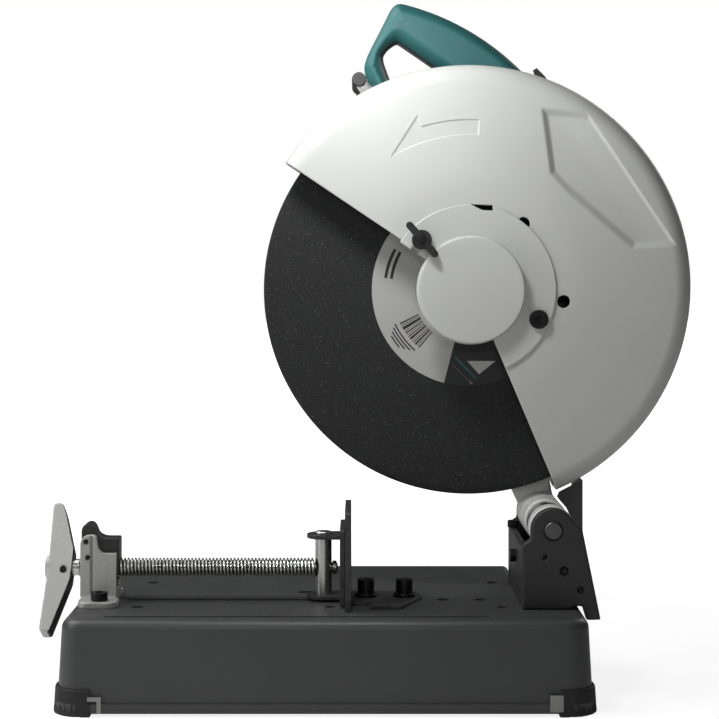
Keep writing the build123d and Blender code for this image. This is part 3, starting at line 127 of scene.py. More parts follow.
# ---------------------------------------------------------------- mesh helpers
def mesh_object(name, points, faces, smooth=True, sharp=35):
    """A new mesh from points in millimetres, shaded smooth except over edges sharper than an angle."""
    mesh = bpy.data.meshes.new(name)
    mesh.from_pydata((np.asarray(points, float) * MM).tolist(), [], faces)
    mesh.validate()
    if smooth:
        mesh.shade_smooth()
        mesh.set_sharp_from_angle(angle=math.radians(sharp))
    piece = bpy.data.objects.new(name, mesh)
    bpy.context.scene.collection.objects.link(piece)
    return piece


def stations(*spans):
    """Values along spans that follow on from each other, each given as start, end and step."""
    values = [np.linspace(a, b, max(2, round((b - a) / step) + 1))[:-1] for a, b, step in spans]
    return np.append(np.concatenate(values), spans[-1][1])


def eased(value):
    """0 below 0, 1 above 1, and an S-curve between them."""
    value = np.clip(value, 0, 1)
    return value * value * (3 - 2 * value)


def around(points):
    """The points of a closed outline, each with the next one."""
    return zip(points, points[1:] + points[:1])


def signed_distance(x, z, outline):
    """Distance from each point to a closed outline, negative inside it."""
    nearest = np.full(np.shape(x), 1e9)
    inside = np.zeros(np.shape(x), bool)
    for (ax, az), (bx, bz) in around(outline):
        dx, dz = bx - ax, bz - az
        along = np.clip(((x - ax) * dx + (z - az) * dz) / (dx * dx + dz * dz), 0, 1)
        nearest = np.minimum(nearest, np.hypot(x - ax - along * dx, z - az - along * dz))
        if dz:
            inside ^= ((az > z) != (bz > z)) & (x < ax + dx * (z - az) / dz)
    return np.where(inside, -nearest, nearest)


def grid_mesh(x, y, z, wrap=False, keep=None):
    """Points and faces of a grid, wrapped round its columns if asked. keep says which faces stay."""
    rows, cols = x.shape
    points = np.stack([x, y, z], -1).reshape(-1, 3)
    i, j = np.meshgrid(np.arange(rows - 1), np.arange(cols if wrap else cols - 1), indexing="ij")
    k = (j + 1) % cols
    faces = np.stack([i * cols + j, (i + 1) * cols + j, (i + 1) * cols + k, i * cols + k], -1)
    faces = faces.reshape(-1, 4) if keep is None else faces[keep]
    used, index = np.unique(faces, return_inverse=True)
    return points[used], index.reshape(-1, 4).tolist()


def joined(*meshes):
    """Several (points, faces) pairs as one."""
    points, faces = [], []
    for some_points, some_faces in meshes:
        faces += [[v + len(points) for v in face] for face in some_faces]
        points += np.asarray(some_points).tolist()
    return points, faces


def open_hole(x, z, distance, cell):
    """Moves the grid points next to a hole's edge onto it, and says which faces lie outside the hole."""
    away, nudge = distance(x, z), 0.01
    slope_x = (distance(x + nudge, z) - away) / nudge
    slope_z = (distance(x, z + nudge) - away) / nudge
    near = np.abs(away) < cell
    x[near] -= (away * slope_x)[near]
    z[near] -= (away * slope_z)[near]
    middle_x = (x[:-1, :-1] + x[1:, :-1] + x[:-1, 1:] + x[1:, 1:]) / 4
    middle_z = (z[:-1, :-1] + z[1:, :-1] + z[:-1, 1:] + z[1:, 1:]) / 4
    return distance(middle_x, middle_z) > 0


def round_hole(hole_x, hole_z, radius):
    """The distance function of a round hole along Y."""
    return lambda x, z: np.hypot(x - hole_x, z - hole_z) - radius


def lathe(profile, centre, turns, axis="Y"):
    """Points and faces of a turned piece. The profile is (distance along the axis, radius)."""
    angle = np.arange(turns) * 2 * math.pi / turns
    along = np.array([p[0] for p in profile], float)[:, None] + 0 * angle
    radius = np.array([p[1] for p in profile], float)[:, None]
    u, v = radius * np.cos(angle), radius * np.sin(angle)
    if axis == "X":
        return grid_mesh(along, centre[0] + v, centre[1] + u, wrap=True)
    return grid_mesh(centre[0] + u, along, centre[1] + v, wrap=True)


def finish_of(node):
    """The finish of a node's slot, or its own if it has one."""
    return own_finishes.get(node, finishes[SLOT_OF[node]])


def stands_for(piece, node):
    """Shows a new piece in place of a CAD node, on its body and with its finish."""
    piece.data.materials.append(finish_of(node))
    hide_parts(node)
    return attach(piece, BODY_OF[node])


def added_to(piece, node, finish):
    """Shows a small new piece on the body of a CAD node."""
    piece.data.materials.append(finish)
    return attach(piece, BODY_OF[node])


def thicken(piece, wall):
    """Gives a surface a wall on its inner side."""
    modifier = piece.modifiers.new("wall", "SOLIDIFY")
    modifier.thickness = wall * MM
    modifier.offset = -1
    return piece


def copy_of(node):
    """A copy of a CAD node's mesh with its seams closed, as a new object."""
    mesh = NODES[node].data.copy()
    mesh.materials.clear()
    shell = bmesh.new()
    shell.from_mesh(mesh)
    bmesh.ops.remove_doubles(shell, verts=shell.verts, dist=0.00001)
    bmesh.ops.dissolve_limit(shell, angle_limit=0.02, verts=shell.verts, edges=shell.edges)
    shell.to_mesh(mesh)
    shell.free()
    piece = bpy.data.objects.new(node + "_shape", mesh)
    piece.matrix_world = NODES[node].matrix_world.copy()
    bpy.context.scene.collection.objects.link(piece)
    return piece


def softened(node, voxel, rounds):
    """A cast or moulded node with every corner run soft."""
    piece = copy_of(node)
    remesh = piece.modifiers.new("voxels", "REMESH")
    remesh.mode = "VOXEL"
    remesh.voxel_size = voxel * MM
    remesh.use_smooth_shade = True
    soften = piece.modifiers.new("soften", "SMOOTH")
    soften.factor = 0.5
    soften.iterations = rounds
    return stands_for(piece, node)


def beveled(node, width):
    """A machined or pressed node with its edges broken."""
    piece = copy_of(node)
    piece.data.shade_smooth()
    piece.data.set_sharp_from_angle(angle=math.radians(40))
    bevel = piece.modifiers.new("edges", "BEVEL")
    bevel.width = width * MM
    bevel.segments = 2
    bevel.limit_method = "ANGLE"
    bevel.angle_limit = math.radians(40)
    bevel.use_clamp_overlap = True
    bevel.harden_normals = True
    return stands_for(piece, node)


# ---------------------------------------------------------------- materials
class Finish:
    """Builds one procedural material. Textures are laid out in metres on the piece at rest."""

    def __init__(self, name, colour, metallic=0.0, roughness=0.5):
        self.material = bpy.data.materials.new(name)
        self.material.use_nodes = True
        self.tree = self.material.node_tree
        self.shader = self.tree.nodes["Principled BSDF"]
        self.shader.inputs["Metallic"].default_value = metallic
        self.shader.inputs["Roughness"].default_value = roughness
        self.shader.inputs["Base Color"].default_value = (*colour, 1)
        self.where = self.add("ShaderNodeTexCoord").outputs["Object"]

    def add(self, kind, **values):
        node = self.tree.nodes.new(kind)
        for key, value in values.items():
            setattr(node, key, value)
        return node

    def link(self, source, socket):
        self.tree.links.new(source, socket)

    def stretched(self, scale):
        """The texture coordinates, each times its own share of the scale."""
        node = self.add("ShaderNodeMapping")
        self.link(self.where, node.inputs["Vector"])
        node.inputs["Scale"].default_value = scale
        return node.outputs["Vector"]

    def noise(self, size_mm, detail=3.0, roughness=0.55):
        """Noise whose blobs are about this many millimetres across."""
        node = self.add("ShaderNodeTexNoise")
        self.link(self.where, node.inputs["Vector"])
        node.inputs["Scale"].default_value = 1 / (size_mm * MM)
        node.inputs["Detail"].default_value = detail
        node.inputs["Roughness"].default_value = roughness
        return node.outputs["Fac"]

    def cells(self, size_mm):
        """A Voronoi texture with cells about this many millimetres across."""
        node = self.add("ShaderNodeTexVoronoi")
        self.link(self.where, node.inputs["Vector"])
        node.inputs["Scale"].default_value = 1 / (size_mm * MM)
        return node

    def ramp(self, value, low, high, out_low=0.0, out_high=1.0):
        """Maps a range of a value onto another, clamped."""
        node = self.add("ShaderNodeMapRange")
        self.link(value, node.inputs["Value"])
        node.inputs["From Min"].default_value = low
        node.inputs["From Max"].default_value = high
        node.inputs["To Min"].default_value = out_low
        node.inputs["To Max"].default_value = out_high
        return node.outputs["Result"]

    def random(self, cells):
        """A value that differs from cell to cell."""
        split = self.add("ShaderNodeSeparateColor")
        self.link(cells.outputs["Color"], split.inputs["Color"])
        return split.outputs["Red"]

    def combine(self, operation, a, b):
        """Math on two values, each a socket or a number."""
        node = self.add("ShaderNodeMath", operation=operation)
        for index, value in enumerate((a, b)):
            if isinstance(value, (int, float)):
                node.inputs[index].default_value = value
            else:
                self.link(value, node.inputs[index])
        return node.outputs[0]

    def edges(self, low=0.52, high=0.6):
        """Where the surface turns over an outer edge."""
        return self.ramp(self.add("ShaderNodeNewGeometry").outputs["Pointiness"], low, high)

    def tint(self, fac, colour_a, colour_b, blend="MIX"):
        """Mixes two colours, each a socket or a tuple."""
        node = self.add("ShaderNodeMix", data_type="RGBA", blend_type=blend)
        self.link(fac, node.inputs["Factor"])
        for socket, value in ((node.inputs[6], colour_a), (node.inputs[7], colour_b)):
            if isinstance(value, tuple):
                socket.default_value = (*value, 1)
            else:
                self.link(value, socket)
        return node.outputs[2]

    def bump(self, height, depth_mm):
        """Adds relief to the surface, on top of any that is there."""
        node = self.add("ShaderNodeBump")
        node.inputs["Strength"].default_value = 1.0
        node.inputs["Distance"].default_value = depth_mm * MM
        self.link(height, node.inputs["Height"])
        normal = self.shader.inputs["Normal"]
        if normal.is_linked:
            self.link(normal.links[0].from_socket, node.inputs["Normal"])
        self.link(node.outputs["Normal"], normal)

    def colour(self, source):
        self.link(source, self.shader.inputs["Base Color"])

    def roughness(self, source):
        self.link(source, self.shader.inputs["Roughness"])


def darker(colour, share):
    """The colour times a share."""
    return tuple(c * share for c in colour)


def floor_finish():
    """White floor that fades into the white surround some way out from the object."""
    finish = Finish("floor_white", (0.92, 0.92, 0.92), roughness=0.6)
    finish.colour(finish.tint(finish.noise(300, 2), (0.9, 0.9, 0.9), (0.94, 0.94, 0.94)))
    away = finish.add("ShaderNodeVectorMath", operation="LENGTH")
    finish.link(finish.where, away.inputs[0])
    far = finish.ramp(away.outputs["Value"], 0.45, 0.85, 0.6, 1.0)
    seen = finish.add("ShaderNodeLightPath").outputs["Is Camera Ray"]
    glow = finish.add("ShaderNodeEmission")
    glow.inputs["Strength"].default_value = 1.4
    mix = finish.add("ShaderNodeMixShader")
    finish.link(finish.combine("MULTIPLY", far, seen), mix.inputs["Fac"])
    finish.link(finish.shader.outputs[0], mix.inputs[1])
    finish.link(glow.outputs[0], mix.inputs[2])
    finish.link(mix.outputs[0], finish.tree.nodes["Material Output"].inputs["Surface"])
    return finish.material


def paint(name, colour, roughness, grain_mm, depth_mm, wear=None, mottle=0.06):
    """Sprayed paint: faint mottling, orange peel of a given grain, and wear on outer edges."""
    finish = Finish(name, colour, roughness=roughness)
    body = finish.tint(finish.noise(45, 3), darker(colour, 1 - mottle), darker(colour, 1 + mottle))
    if wear:
        rubbed = finish.combine("MULTIPLY", finish.edges(), finish.ramp(finish.noise(6, 4), 0.45, 0.62))
        body = finish.tint(rubbed, body, wear)
    finish.colour(body)
    finish.roughness(finish.ramp(finish.noise(20, 4), 0.3, 0.7, roughness - 0.05, roughness + 0.07))
    finish.bump(finish.noise(grain_mm, 2), depth_mm)
    return finish.material


def moulding(name, colour, roughness, grain_mm=0.5, depth_mm=0.03):
    """Moulded plastic or rubber: spark-eroded grain, slight colour drift and polished edges."""
    finish = Finish(name, colour, roughness=roughness)
    body = finish.tint(finish.noise(30, 3), darker(colour, 0.9), darker(colour, 1.1))
    finish.colour(finish.tint(finish.edges(0.51, 0.58), body, tuple(min(1, c * 1.25 + 0.01) for c in colour)))
    finish.roughness(finish.ramp(finish.noise(15, 3), 0.3, 0.7, roughness - 0.06, roughness + 0.08))
    finish.bump(finish.noise(grain_mm, 4, 0.7), depth_mm)
    return finish.material


def casting(name, colour, metallic, roughness, grain_mm=1.2, depth_mm=0.12):
    """Cast metal: rough skin, darker hollows and rubbed edges."""
    finish = Finish(name, colour, metallic, roughness)
    skin = finish.tint(finish.noise(3.0, 5, 0.7), darker(colour, 0.8), darker(colour, 1.12))
    # the skin is darkened where pointiness is low, in the hollows
    hollow = finish.ramp(finish.add("ShaderNodeNewGeometry").outputs["Pointiness"], 0.44, 0.495, 1.0, 0.0)
    hollows_darkened = finish.tint(finish.combine("MULTIPLY", hollow, 0.5), skin, darker(colour, 0.25))
    finish.colour(finish.tint(finish.edges(0.515, 0.57), hollows_darkened, tuple(min(1, c * 1.25) for c in colour)))
    finish.roughness(finish.ramp(finish.noise(2.0, 4), 0.3, 0.7, roughness - 0.1, roughness + 0.12))
    finish.bump(finish.noise(grain_mm, 5, 0.65), depth_mm)
    finish.bump(finish.noise(9, 3), 0.15)
    return finish.material


def steel(name, colour, roughness, stain=0.25):
    """Turned, drawn or plated steel: a fine grain and faint staining."""
    finish = Finish(name, colour, 1.0, roughness)
    grain = finish.noise(0.4, 3, 0.6)
    body = finish.tint(finish.noise(12, 4), darker(colour, 1 - stain), colour)
    finish.colour(finish.tint(finish.ramp(grain, 0.35, 0.65), body, darker(colour, 1.08)))
    finish.roughness(finish.ramp(grain, 0.3, 0.7, roughness - 0.08, roughness + 0.12))
    finish.bump(grain, 0.01)
    return finish.material


def abrasive():
    """Resin-bonded grit: black ground, fine grains painted as light specks, partly their own lighter tone and
    partly painted glints, and pits.
    """
    finish = Finish("abrasive_grit", (0.012, 0.012, 0.013), roughness=0.72)
    ground = finish.tint(finish.noise(14, 4, 0.6), (0.007, 0.007, 0.008), (0.014, 0.015, 0.015))
    body = finish.tint(finish.ramp(finish.noise(0.7, 2), 0.5, 0.75), ground, (0.036, 0.037, 0.037))
    # grain specks in a lighter colour: the grains' own tone, with the rarest and brightest ones painted
    # glints
    for size, rare, speck_and_glint in ((0.7, 0.88, (0.09, 0.092, 0.093)), (1.0, 0.97, (0.22, 0.222, 0.222))):
        grains = finish.cells(size)
        spot = finish.combine("MULTIPLY", finish.ramp(finish.random(grains), rare, rare + 0.02),
                              finish.ramp(grains.outputs["Distance"], 0.2, 0.45, 1.0, 0.0))
        body = finish.tint(spot, body, speck_and_glint)
    finish.colour(body)
    finish.roughness(finish.ramp(finish.noise(1.2, 3), 0.3, 0.7, 0.6, 0.85))
    finish.bump(finish.noise(0.7, 4, 0.7), 0.16)
    finish.bump(finish.noise(5, 3), 0.15)
    return finish.material


def make_finishes():
    """One finish for each of the record's material slots."""
    return {
        "base_paint": paint("powder_coat", (0.052, 0.054, 0.053), 0.42, 0.6, 0.03, mottle=0.08),
        "bracket_paint": paint(
            "bracket_coat", (0.026, 0.027, 0.026), 0.5, 0.9, 0.03, wear=(0.06, 0.06, 0.06), mottle=0.1,
        ),
        "black_oxide": steel("black_oxide", (0.035, 0.035, 0.036), 0.38),
        "foot_rubber": moulding("foot_rubber", (0.011, 0.011, 0.011), 0.6, 0.5, 0.03),
        "zinc_steel": steel("zinc_plate", (0.62, 0.62, 0.60), 0.24, stain=0.15),
        "clip_zinc": steel("clip_zinc", (0.32, 0.32, 0.31), 0.5),
        "spring_steel": steel("spring_steel", (0.2, 0.2, 0.2), 0.35),
        "cast_light": casting("cast_light", (0.48, 0.485, 0.47), 0.5, 0.45, 0.9, 0.10),
        "cast_dark": casting("cast_dark", (0.035, 0.035, 0.034), 0.2, 0.45, 1.1, 0.08),
        "arm_cast": casting("arm_cast", (0.74, 0.745, 0.73), 0.2, 0.5, 1.3, 0.12),
        "guard_paint": paint("guard_paint", (0.62, 0.63, 0.605), 0.36, 1.6, 0.012, mottle=0.02),
        "teal_plastic": moulding("teal_plastic", (0.022, 0.125, 0.125), 0.55, 0.6, 0.05),
        "black_plastic": moulding("black_plastic", (0.016, 0.016, 0.016), 0.48),
        "grip_rubber": moulding("grip_rubber", (0.014, 0.014, 0.014), 0.6),
        "abrasive": abrasive(),
        "label_paper": moulding("label_paper", (0.52, 0.52, 0.50), 0.75, 2.2, 0.7),
        "machined_steel": steel("machined_steel", (0.42, 0.42, 0.42), 0.3),
        "laminations": casting("laminations", (0.15, 0.15, 0.16), 0.8, 0.5),
        "copper": steel("copper", (0.7, 0.32, 0.16), 0.3),
        "carbon": moulding("carbon", (0.03, 0.03, 0.032), 0.5),
    }


def lever_finish():
    """The vise lever: a light cast face, with the back and the far sides, which face away from the lamps,
    painted near-black as painted shade.
    """
    finish = Finish("lever_cast", (0.5, 0.5, 0.49), 0.2, 0.5)
    skin = finish.tint(finish.noise(2.2, 5, 0.7), (0.42, 0.423, 0.41), (0.6, 0.603, 0.585))
    shaded_side = finish.add("ShaderNodeVectorMath", operation="DOT_PRODUCT")
    finish.link(finish.add("ShaderNodeTexCoord").outputs["Normal"], shaded_side.inputs[0])
    shaded_side.inputs[1].default_value = (0.9, 0.35, -0.25)
    # faces turned right, back and down, away from the lamps, get painted shade: a near-black colour
    finish.colour(finish.tint(finish.ramp(shaded_side.outputs["Value"], 0.12, 0.3), skin, (0.012, 0.012, 0.012)))
    finish.bump(finish.noise(1.5, 4, 0.6), 0.08)
    finish.bump(finish.noise(7, 3), 0.2)
    return finish.material


def thread_finish():
    """The vise screw's bright steel, with painted shade in the thread's roots and dull patches."""
    finish = Finish("screw_thread", (0.75, 0.75, 0.73), 1.0, 0.3)
    from_axis = finish.add("ShaderNodeVectorMath", operation="SUBTRACT")
    finish.link(finish.stretched((0, 1, 1)), from_axis.inputs[0])
    from_axis.inputs[1].default_value = (0, VISE_Y * MM, VISE_Z * MM)
    radius = finish.add("ShaderNodeVectorMath", operation="LENGTH")
    finish.link(from_axis.outputs[0], radius.inputs[0])
    crest = finish.ramp(radius.outputs["Value"], THREAD_ROOT * MM, (THREAD_ROOT + 1.2) * MM)
    steel_colour = finish.tint(finish.noise(14, 3), (0.66, 0.66, 0.64), (0.8, 0.8, 0.78))
    # the roots, below the crest, are painted dark as painted shade
    finish.colour(finish.tint(crest, (0.14, 0.14, 0.135), steel_colour))
    finish.roughness(finish.ramp(finish.noise(9, 2), 0.3, 0.7, 0.26, 0.34))
    return finish.material


finishes = make_finishes()
own_finishes = {
    "pivot_pin": steel("pin_end", (0.14, 0.14, 0.14), 0.4),
    "vise_handle_pin": finishes["black_oxide"],
    "carry_rod": finishes["black_plastic"],
    "carry_straps": steel("strap_steel", (0.26, 0.26, 0.255), 0.5),
    "vise_screw": thread_finish(),
    "vise_handle": lever_finish(),
}
label_ink = moulding("label_ink", (0.022, 0.022, 0.023), 0.55, 1.0, 0.05)


# ---------------------------------------------------------------- guard, cover and wheel
ARROW_IN, ARROW_OUT, ARROW_HEAD = 128.5, 142.3, 153.1    # radii about the guard's centre
ARROW_FROM, ARROW_NECK, ARROW_TIP = 86.8, 106.9, 122.3   # degrees
PANEL = [(144.6, 493.9), (152, 436), (170.7, 416.5), (222.4, 372), (262, 374.5), (185, 489.5)]
PANEL_SLOPES = (7, 7, 8, 7, 2.6, 7)                     # width of the slope at each of the panel's sides
PANEL_DEPTH, ARROW_DEPTH = 4.2, 1.0
VENT_HOLES = [(130, 394.3), (164.1, 328.1)]
VENT_SLOT = [(84.5, 410.6), (104, 409.8), (104, 405.2), (95, 405.6)]


def polar(radius, degrees):
    """A point at a radius and an angle about the guard's centre."""
    angle = math.radians(degrees)
    return GUARD_X + radius * math.cos(angle), GUARD_Z + radius * math.sin(angle)


def arrow_outline():
    """The arrow pressed in the guard: a curved bar with a half head."""
    outer = [polar(ARROW_OUT, a) for a in np.linspace(ARROW_FROM, ARROW_NECK, 12)]
    inner = [polar(ARROW_IN, a) for a in np.linspace(ARROW_TIP, ARROW_FROM, 20)]
    return outer + [polar(ARROW_HEAD, ARROW_NECK)] + inner


def panel_share(x, z):
    """How far down the pressed panel each point lies: 0 outside it and 1 on its floor."""
    share = np.ones(x.shape)
    for ((ax, az), (bx, bz)), width in zip(around(PANEL), PANEL_SLOPES):
        length = math.hypot(bx - ax, bz - az)
        depth = ((bx - ax) * (z - az) - (bz - az) * (x - ax)) / length
        share = np.minimum(share, eased(depth / width))
    return share


def build_guard():
    """The dished wheel guard, with its arrow, panel, vent holes and rolled rim."""
    round_from = GUARD_R - RIM_ROUND
    flat = stations((38.5, 60, 1.6), (60, 92, 0.8), (92, 122, 1.2), (122, 158, 0.6), (158, round_from, 0.8))
    past = flat - FLAT_R
    bend = 9
    rise = np.where(np.abs(past) < bend, (past + bend) ** 2 / (4 * bend), np.maximum(past, 0))
    arc = np.radians(np.linspace(0, 90, 22))[1:]
    shoulder = GUARD_FRONT + DISH
    wall = np.linspace(shoulder + RIM_ROUND, GUARD_REAR, 7)[1:]
    radius = np.concatenate([flat, round_from + RIM_ROUND * np.sin(arc), np.full(wall.shape, GUARD_R)])
    depth = np.concatenate([
        GUARD_FRONT + DISH * rise / (round_from - FLAT_R), shoulder + RIM_ROUND * (1 - np.cos(arc)), wall,
    ])
    turn = np.radians(stations(
        (OPEN_TO - 360, 5, 0.4), (5, 82, 0.2), (82, 127, 0.25), (127, OPEN_FROM, 0.4),
    ))
    x = GUARD_X + radius[:, None] * np.cos(turn)
    z = GUARD_Z + radius[:, None] * np.sin(turn)
    keep = np.ones((x.shape[0] - 1, x.shape[1] - 1), bool)
    for hole_x, hole_z in VENT_HOLES:
        keep &= open_hole(x, z, round_hole(hole_x, hole_z, VENT_R), 0.42)
    keep &= open_hole(x, z, lambda px, pz: signed_distance(px, pz, VENT_SLOT), 0.42)
    y = np.repeat(depth[:, None], len(turn), axis=1)
    # the arrow and the panel are pressed inwards, the panel less towards its long outer side
    y += ARROW_DEPTH * eased(-signed_distance(x, z, arrow_outline()) / 0.9)
    (bx, bz), (ax, az) = PANEL[-1], PANEL[-2]
    inward = -((bx - ax) * (z - az) - (bz - az) * (x - ax)) / math.hypot(bx - ax, bz - az)
    y += panel_share(x, z) * (PANEL_DEPTH - 1.6 * (1 - eased(np.abs(inward) / 24)))
    guard = mesh_object("wheel_guard_shell", *grid_mesh(x, y, z, keep=keep))
    thicken(guard, GUARD_WALL)
    stands_for(guard, "wheel_guard")


def build_cover():
    """The centre cover: a low cap with a soft edge, and a flat ring with its fork and hinge hole."""
    soft = np.radians(np.linspace(0, 86, 8))
    cap = [(CAP_FRONT, r) for r in (0.01, 12, 24, 34, 40)]
    cap += [(CAP_FRONT + 1.6 * (1 - math.cos(a)), CAP_R - 2.2 + 1.6 * math.sin(a)) for a in soft]
    cap += [(COVER_FRONT - 0.6, CAP_R - 0.1), (COVER_FRONT, CAP_R + 0.3), (COVER_BACK, CAP_R + 0.3)]
    cap += [(COVER_BACK, CAP_R - 2), (CAP_FRONT + 2, CAP_R - 4), (CAP_FRONT + 2, 20), (CAP_FRONT + 2, 0.01)]
    front = mesh_object("centre_cover_cap", *lathe(cap, (WHEEL_X, WHEEL_Z), 160))
    stands_for(front, "centre_cover")
    edge = np.radians(np.linspace(0, 90, 5))[1:]
    flat = stations((CAP_R - 1, COVER_R - 0.9, 0.5))
    radius = np.concatenate([flat, COVER_R - 0.9 + 0.9 * np.sin(edge), [COVER_R]])
    depth = np.concatenate([
        np.full(len(flat), COVER_FRONT), COVER_FRONT + 0.9 * (1 - np.cos(edge)), [-54.4],
    ])
    turn = np.radians(stations((OPEN_TO - 360 + 1.4, OPEN_FROM, 0.5)))
    x = WHEEL_X + radius[:, None] * np.cos(turn)
    z = WHEEL_Z + radius[:, None] * np.sin(turn)
    fork_r = math.hypot(WING_X - HINGE_X, WING_Z - HINGE_Z)
    fork_from = math.atan2(WING_Z - HINGE_Z, WING_X - HINGE_X)

    def fork(px, pz):
        ahead = np.arctan2(pz - HINGE_Z, px - HINGE_X) - fork_from
        off = np.hypot(px - HINGE_X, pz - HINGE_Z) - fork_r
        return np.hypot(np.minimum(ahead, 0) * fork_r, off) - FORK_R

    keep = open_hole(x, z, fork, 0.3) & open_hole(x, z, round_hole(HINGE_X, HINGE_Z, HINGE_HOLE_R), 0.3)
    keep &= open_hole(x, z, lambda px, pz: signed_distance(px, pz, VENT_SLOT), 0.3)
    y = np.repeat(depth[:, None], len(turn), axis=1)
    ring = mesh_object("centre_cover_ring", *grid_mesh(x, y, z, keep=keep))
    thicken(ring, 1.6)
    stands_for(ring, "centre_cover")


PAPER_FROM, PAPER_TO = 100, 255.5       # the label's light sector, degrees; the rest is printed black


def ring_sector(inner, outer, start, end, y):
    """Points and faces of a flat sector about the wheel's axis, facing the front."""
    radius = stations((inner, outer, 1.2))[:, None]
    turn = np.radians(stations((start, end, 1.0)))
    x = WHEEL_X + radius * np.cos(turn)
    return grid_mesh(x, np.full(x.shape, y, float), WHEEL_Z + radius * np.sin(turn))


def flat_patch(outline, y):
    """Points and faces of a small flat patch, its corners given from the wheel's axis, facing the front."""
    points = [(WHEEL_X + px, y, WHEEL_Z + pz) for px, pz in outline]
    area = sum(ax * bz - bx * az for (ax, az), (bx, bz) in around(outline))
    order = range(len(points)) if area > 0 else range(len(points) - 1, -1, -1)
    return points, [list(order)]


def build_label():
    """The wheel's paper label: a light sector with plain bars, and a black one with a light flash."""
    light = ring_sector(LABEL_BORE, LABEL_R, PAPER_FROM, PAPER_TO, LABEL_FRONT)
    stands_for(mesh_object("wheel_label_paper", *light), "wheel_label")
    black = ring_sector(LABEL_BORE, LABEL_R, PAPER_TO, PAPER_FROM + 360, LABEL_FRONT)
    added_to(mesh_object("wheel_label_black", *black), "wheel_label", label_ink)
    proud = LABEL_FRONT - 0.06
    bars = []
    start = 206
    for width in (1.2, 0.7, 2.4, 0.5, 1.1, 0.5, 0.9, 1.7, 0.5, 0.8, 1.5, 0.5, 1.0):
        bars.append(ring_sector(48, 66, start, start + width, proud))
        start += width + 0.9
    for index in range(4):
        inner = 69.5 + 2.6 * index
        bars.append(ring_sector(inner, inner + 1.2, 205 + 2 * index, 229 - 3 * index, proud))
    for index in range(2):
        bars.append(ring_sector(66 + 5 * index, 68.6 + 5 * index, 151, 172, proud))
    added_to(mesh_object("wheel_label_bars", *joined(*bars)), "wheel_label", label_ink)
    flash = [(-0.7, -62), (9.5, -73.5), (23.8, -62)]
    lines = [flash]
    for shift in (0, 2.6, 5.2):
        lines.append([(-15 + shift, -64 - shift), (-2 + shift, -77 - shift), (-1.5 + shift, -76.5 - shift)])
    strips = [flat_patch(line, proud) for line in lines]
    added_to(mesh_object("wheel_label_flash", *joined(*strips)), "wheel_label", finishes["label_paper"])
    teal = flat_patch([(-12, -59), (-10.8, -57.9), (7.6, -76.9), (6.5, -78)], proud)
    added_to(mesh_object("wheel_label_strip", *teal), "wheel_label", finishes["teal_plastic"])


def build_wheel():
    """The abrasive wheel with a slightly worn, rounded rim."""
    front, back, radius, bore = -18, -15, 177.5, 12.75
    profile = [(front, bore), (front, 60), (front, 120), (front, 170), (front, radius - 0.9)]
    profile += [(front + 0.3, radius - 0.25), (front + 0.9, radius), (back - 0.9, radius)]
    profile += [(back - 0.3, radius - 0.25), (back, radius - 0.9)]
    profile += [(back, 120), (back, 60), (back, bore), (front, bore)]
    disc = mesh_object("abrasive_wheel_disc", *lathe(profile, (WHEEL_X, WHEEL_Z), 240))
    stands_for(disc, "abrasive_wheel")


# ---------------------------------------------------------------- handle
def arc_points(start, middle, end, count):
    """Points along the circle arc from the start, through the middle, to the end."""
    (ax, az), (mx, mz), (bx, bz) = start, middle, end
    twice = 2 * (ax * (mz - bz) + mx * (bz - az) + bx * (az - mz))
    a, m, b = ax * ax + az * az, mx * mx + mz * mz, bx * bx + bz * bz
    centre_x = (a * (mz - bz) + m * (bz - az) + b * (az - mz)) / twice
    centre_z = (a * (bx - mx) + m * (ax - bx) + b * (mx - ax)) / twice
    first, last = (math.atan2(z - centre_z, x - centre_x) for x, z in (start, end))
    sweep = (last - first + math.pi) % (2 * math.pi) - math.pi
    radius = math.hypot(ax - centre_x, az - centre_z)
    angles = [first + sweep * k / count for k in range(count + 1)]
    return [(centre_x + radius * math.cos(t), centre_z + radius * math.sin(t)) for t in angles]


HANDLE_OUTLINE = [
    *arc_points((26, 592.7), (92.6, 565.6), (141, 526), 8)[:-1],
    *arc_points((141, 526), (150, 506), (146, 480), 3), (134, 456), (118, 436), (34, 436),
    *arc_points((3.4, 515.9), (-5.2, 534), (-1.9, 546.4), 3), (12, 573.1), (19.4, 588.3),
]
OPENING = [
    (8.8, 543.4), (14.5, 552.6), (23.2, 558.4), (28.4, 556.2), (88, 515), (86, 498), (72, 482), (44, 478),
    (30, 488), (16.4, 522.6),
]
OPENING_INSET = 2.2       # the back half's opening is smaller by this all round
HANDLE_SCREWS = [(30, 574), (3, 532), (104, 545), (40, 456), (138, 500)]
EDGE_RADIUS = 11
RIB_PITCH = 2.3


def rounded(outline, step):
    """A closed outline with its corners cut twice, then points along it at an even step."""
    for _ in range(2):
        cut = []
        for a, b in around(outline):
            a, b = np.array(a), np.array(b)
            cut += [tuple(a * 0.8 + b * 0.2), tuple(a * 0.2 + b * 0.8)]
        outline = cut
    points = []
    for a, b in around(outline):
        count = max(1, round(math.dist(a, b) / step))
        points += [tuple(np.array(a) + (np.array(b) - np.array(a)) * k / count) for k in range(count)]
    return points


def inset_points(outline, distance, side):
    """The outline's points moved along its normals, towards the inside of the wall if side is 1."""
    corners = np.array(outline)
    ahead = np.roll(corners, -1, axis=0) - np.roll(corners, 1, axis=0)
    ahead /= np.linalg.norm(ahead, axis=1)[:, None]
    return corners + side * distance * np.stack([-ahead[:, 1], ahead[:, 0]], 1)


def turning(outline):
    """1 for an outline that runs anticlockwise, -1 for the other way."""
    return 1 if sum(ax * bz - bx * az for (ax, az), (bx, bz) in around(outline)) > 0 else -1


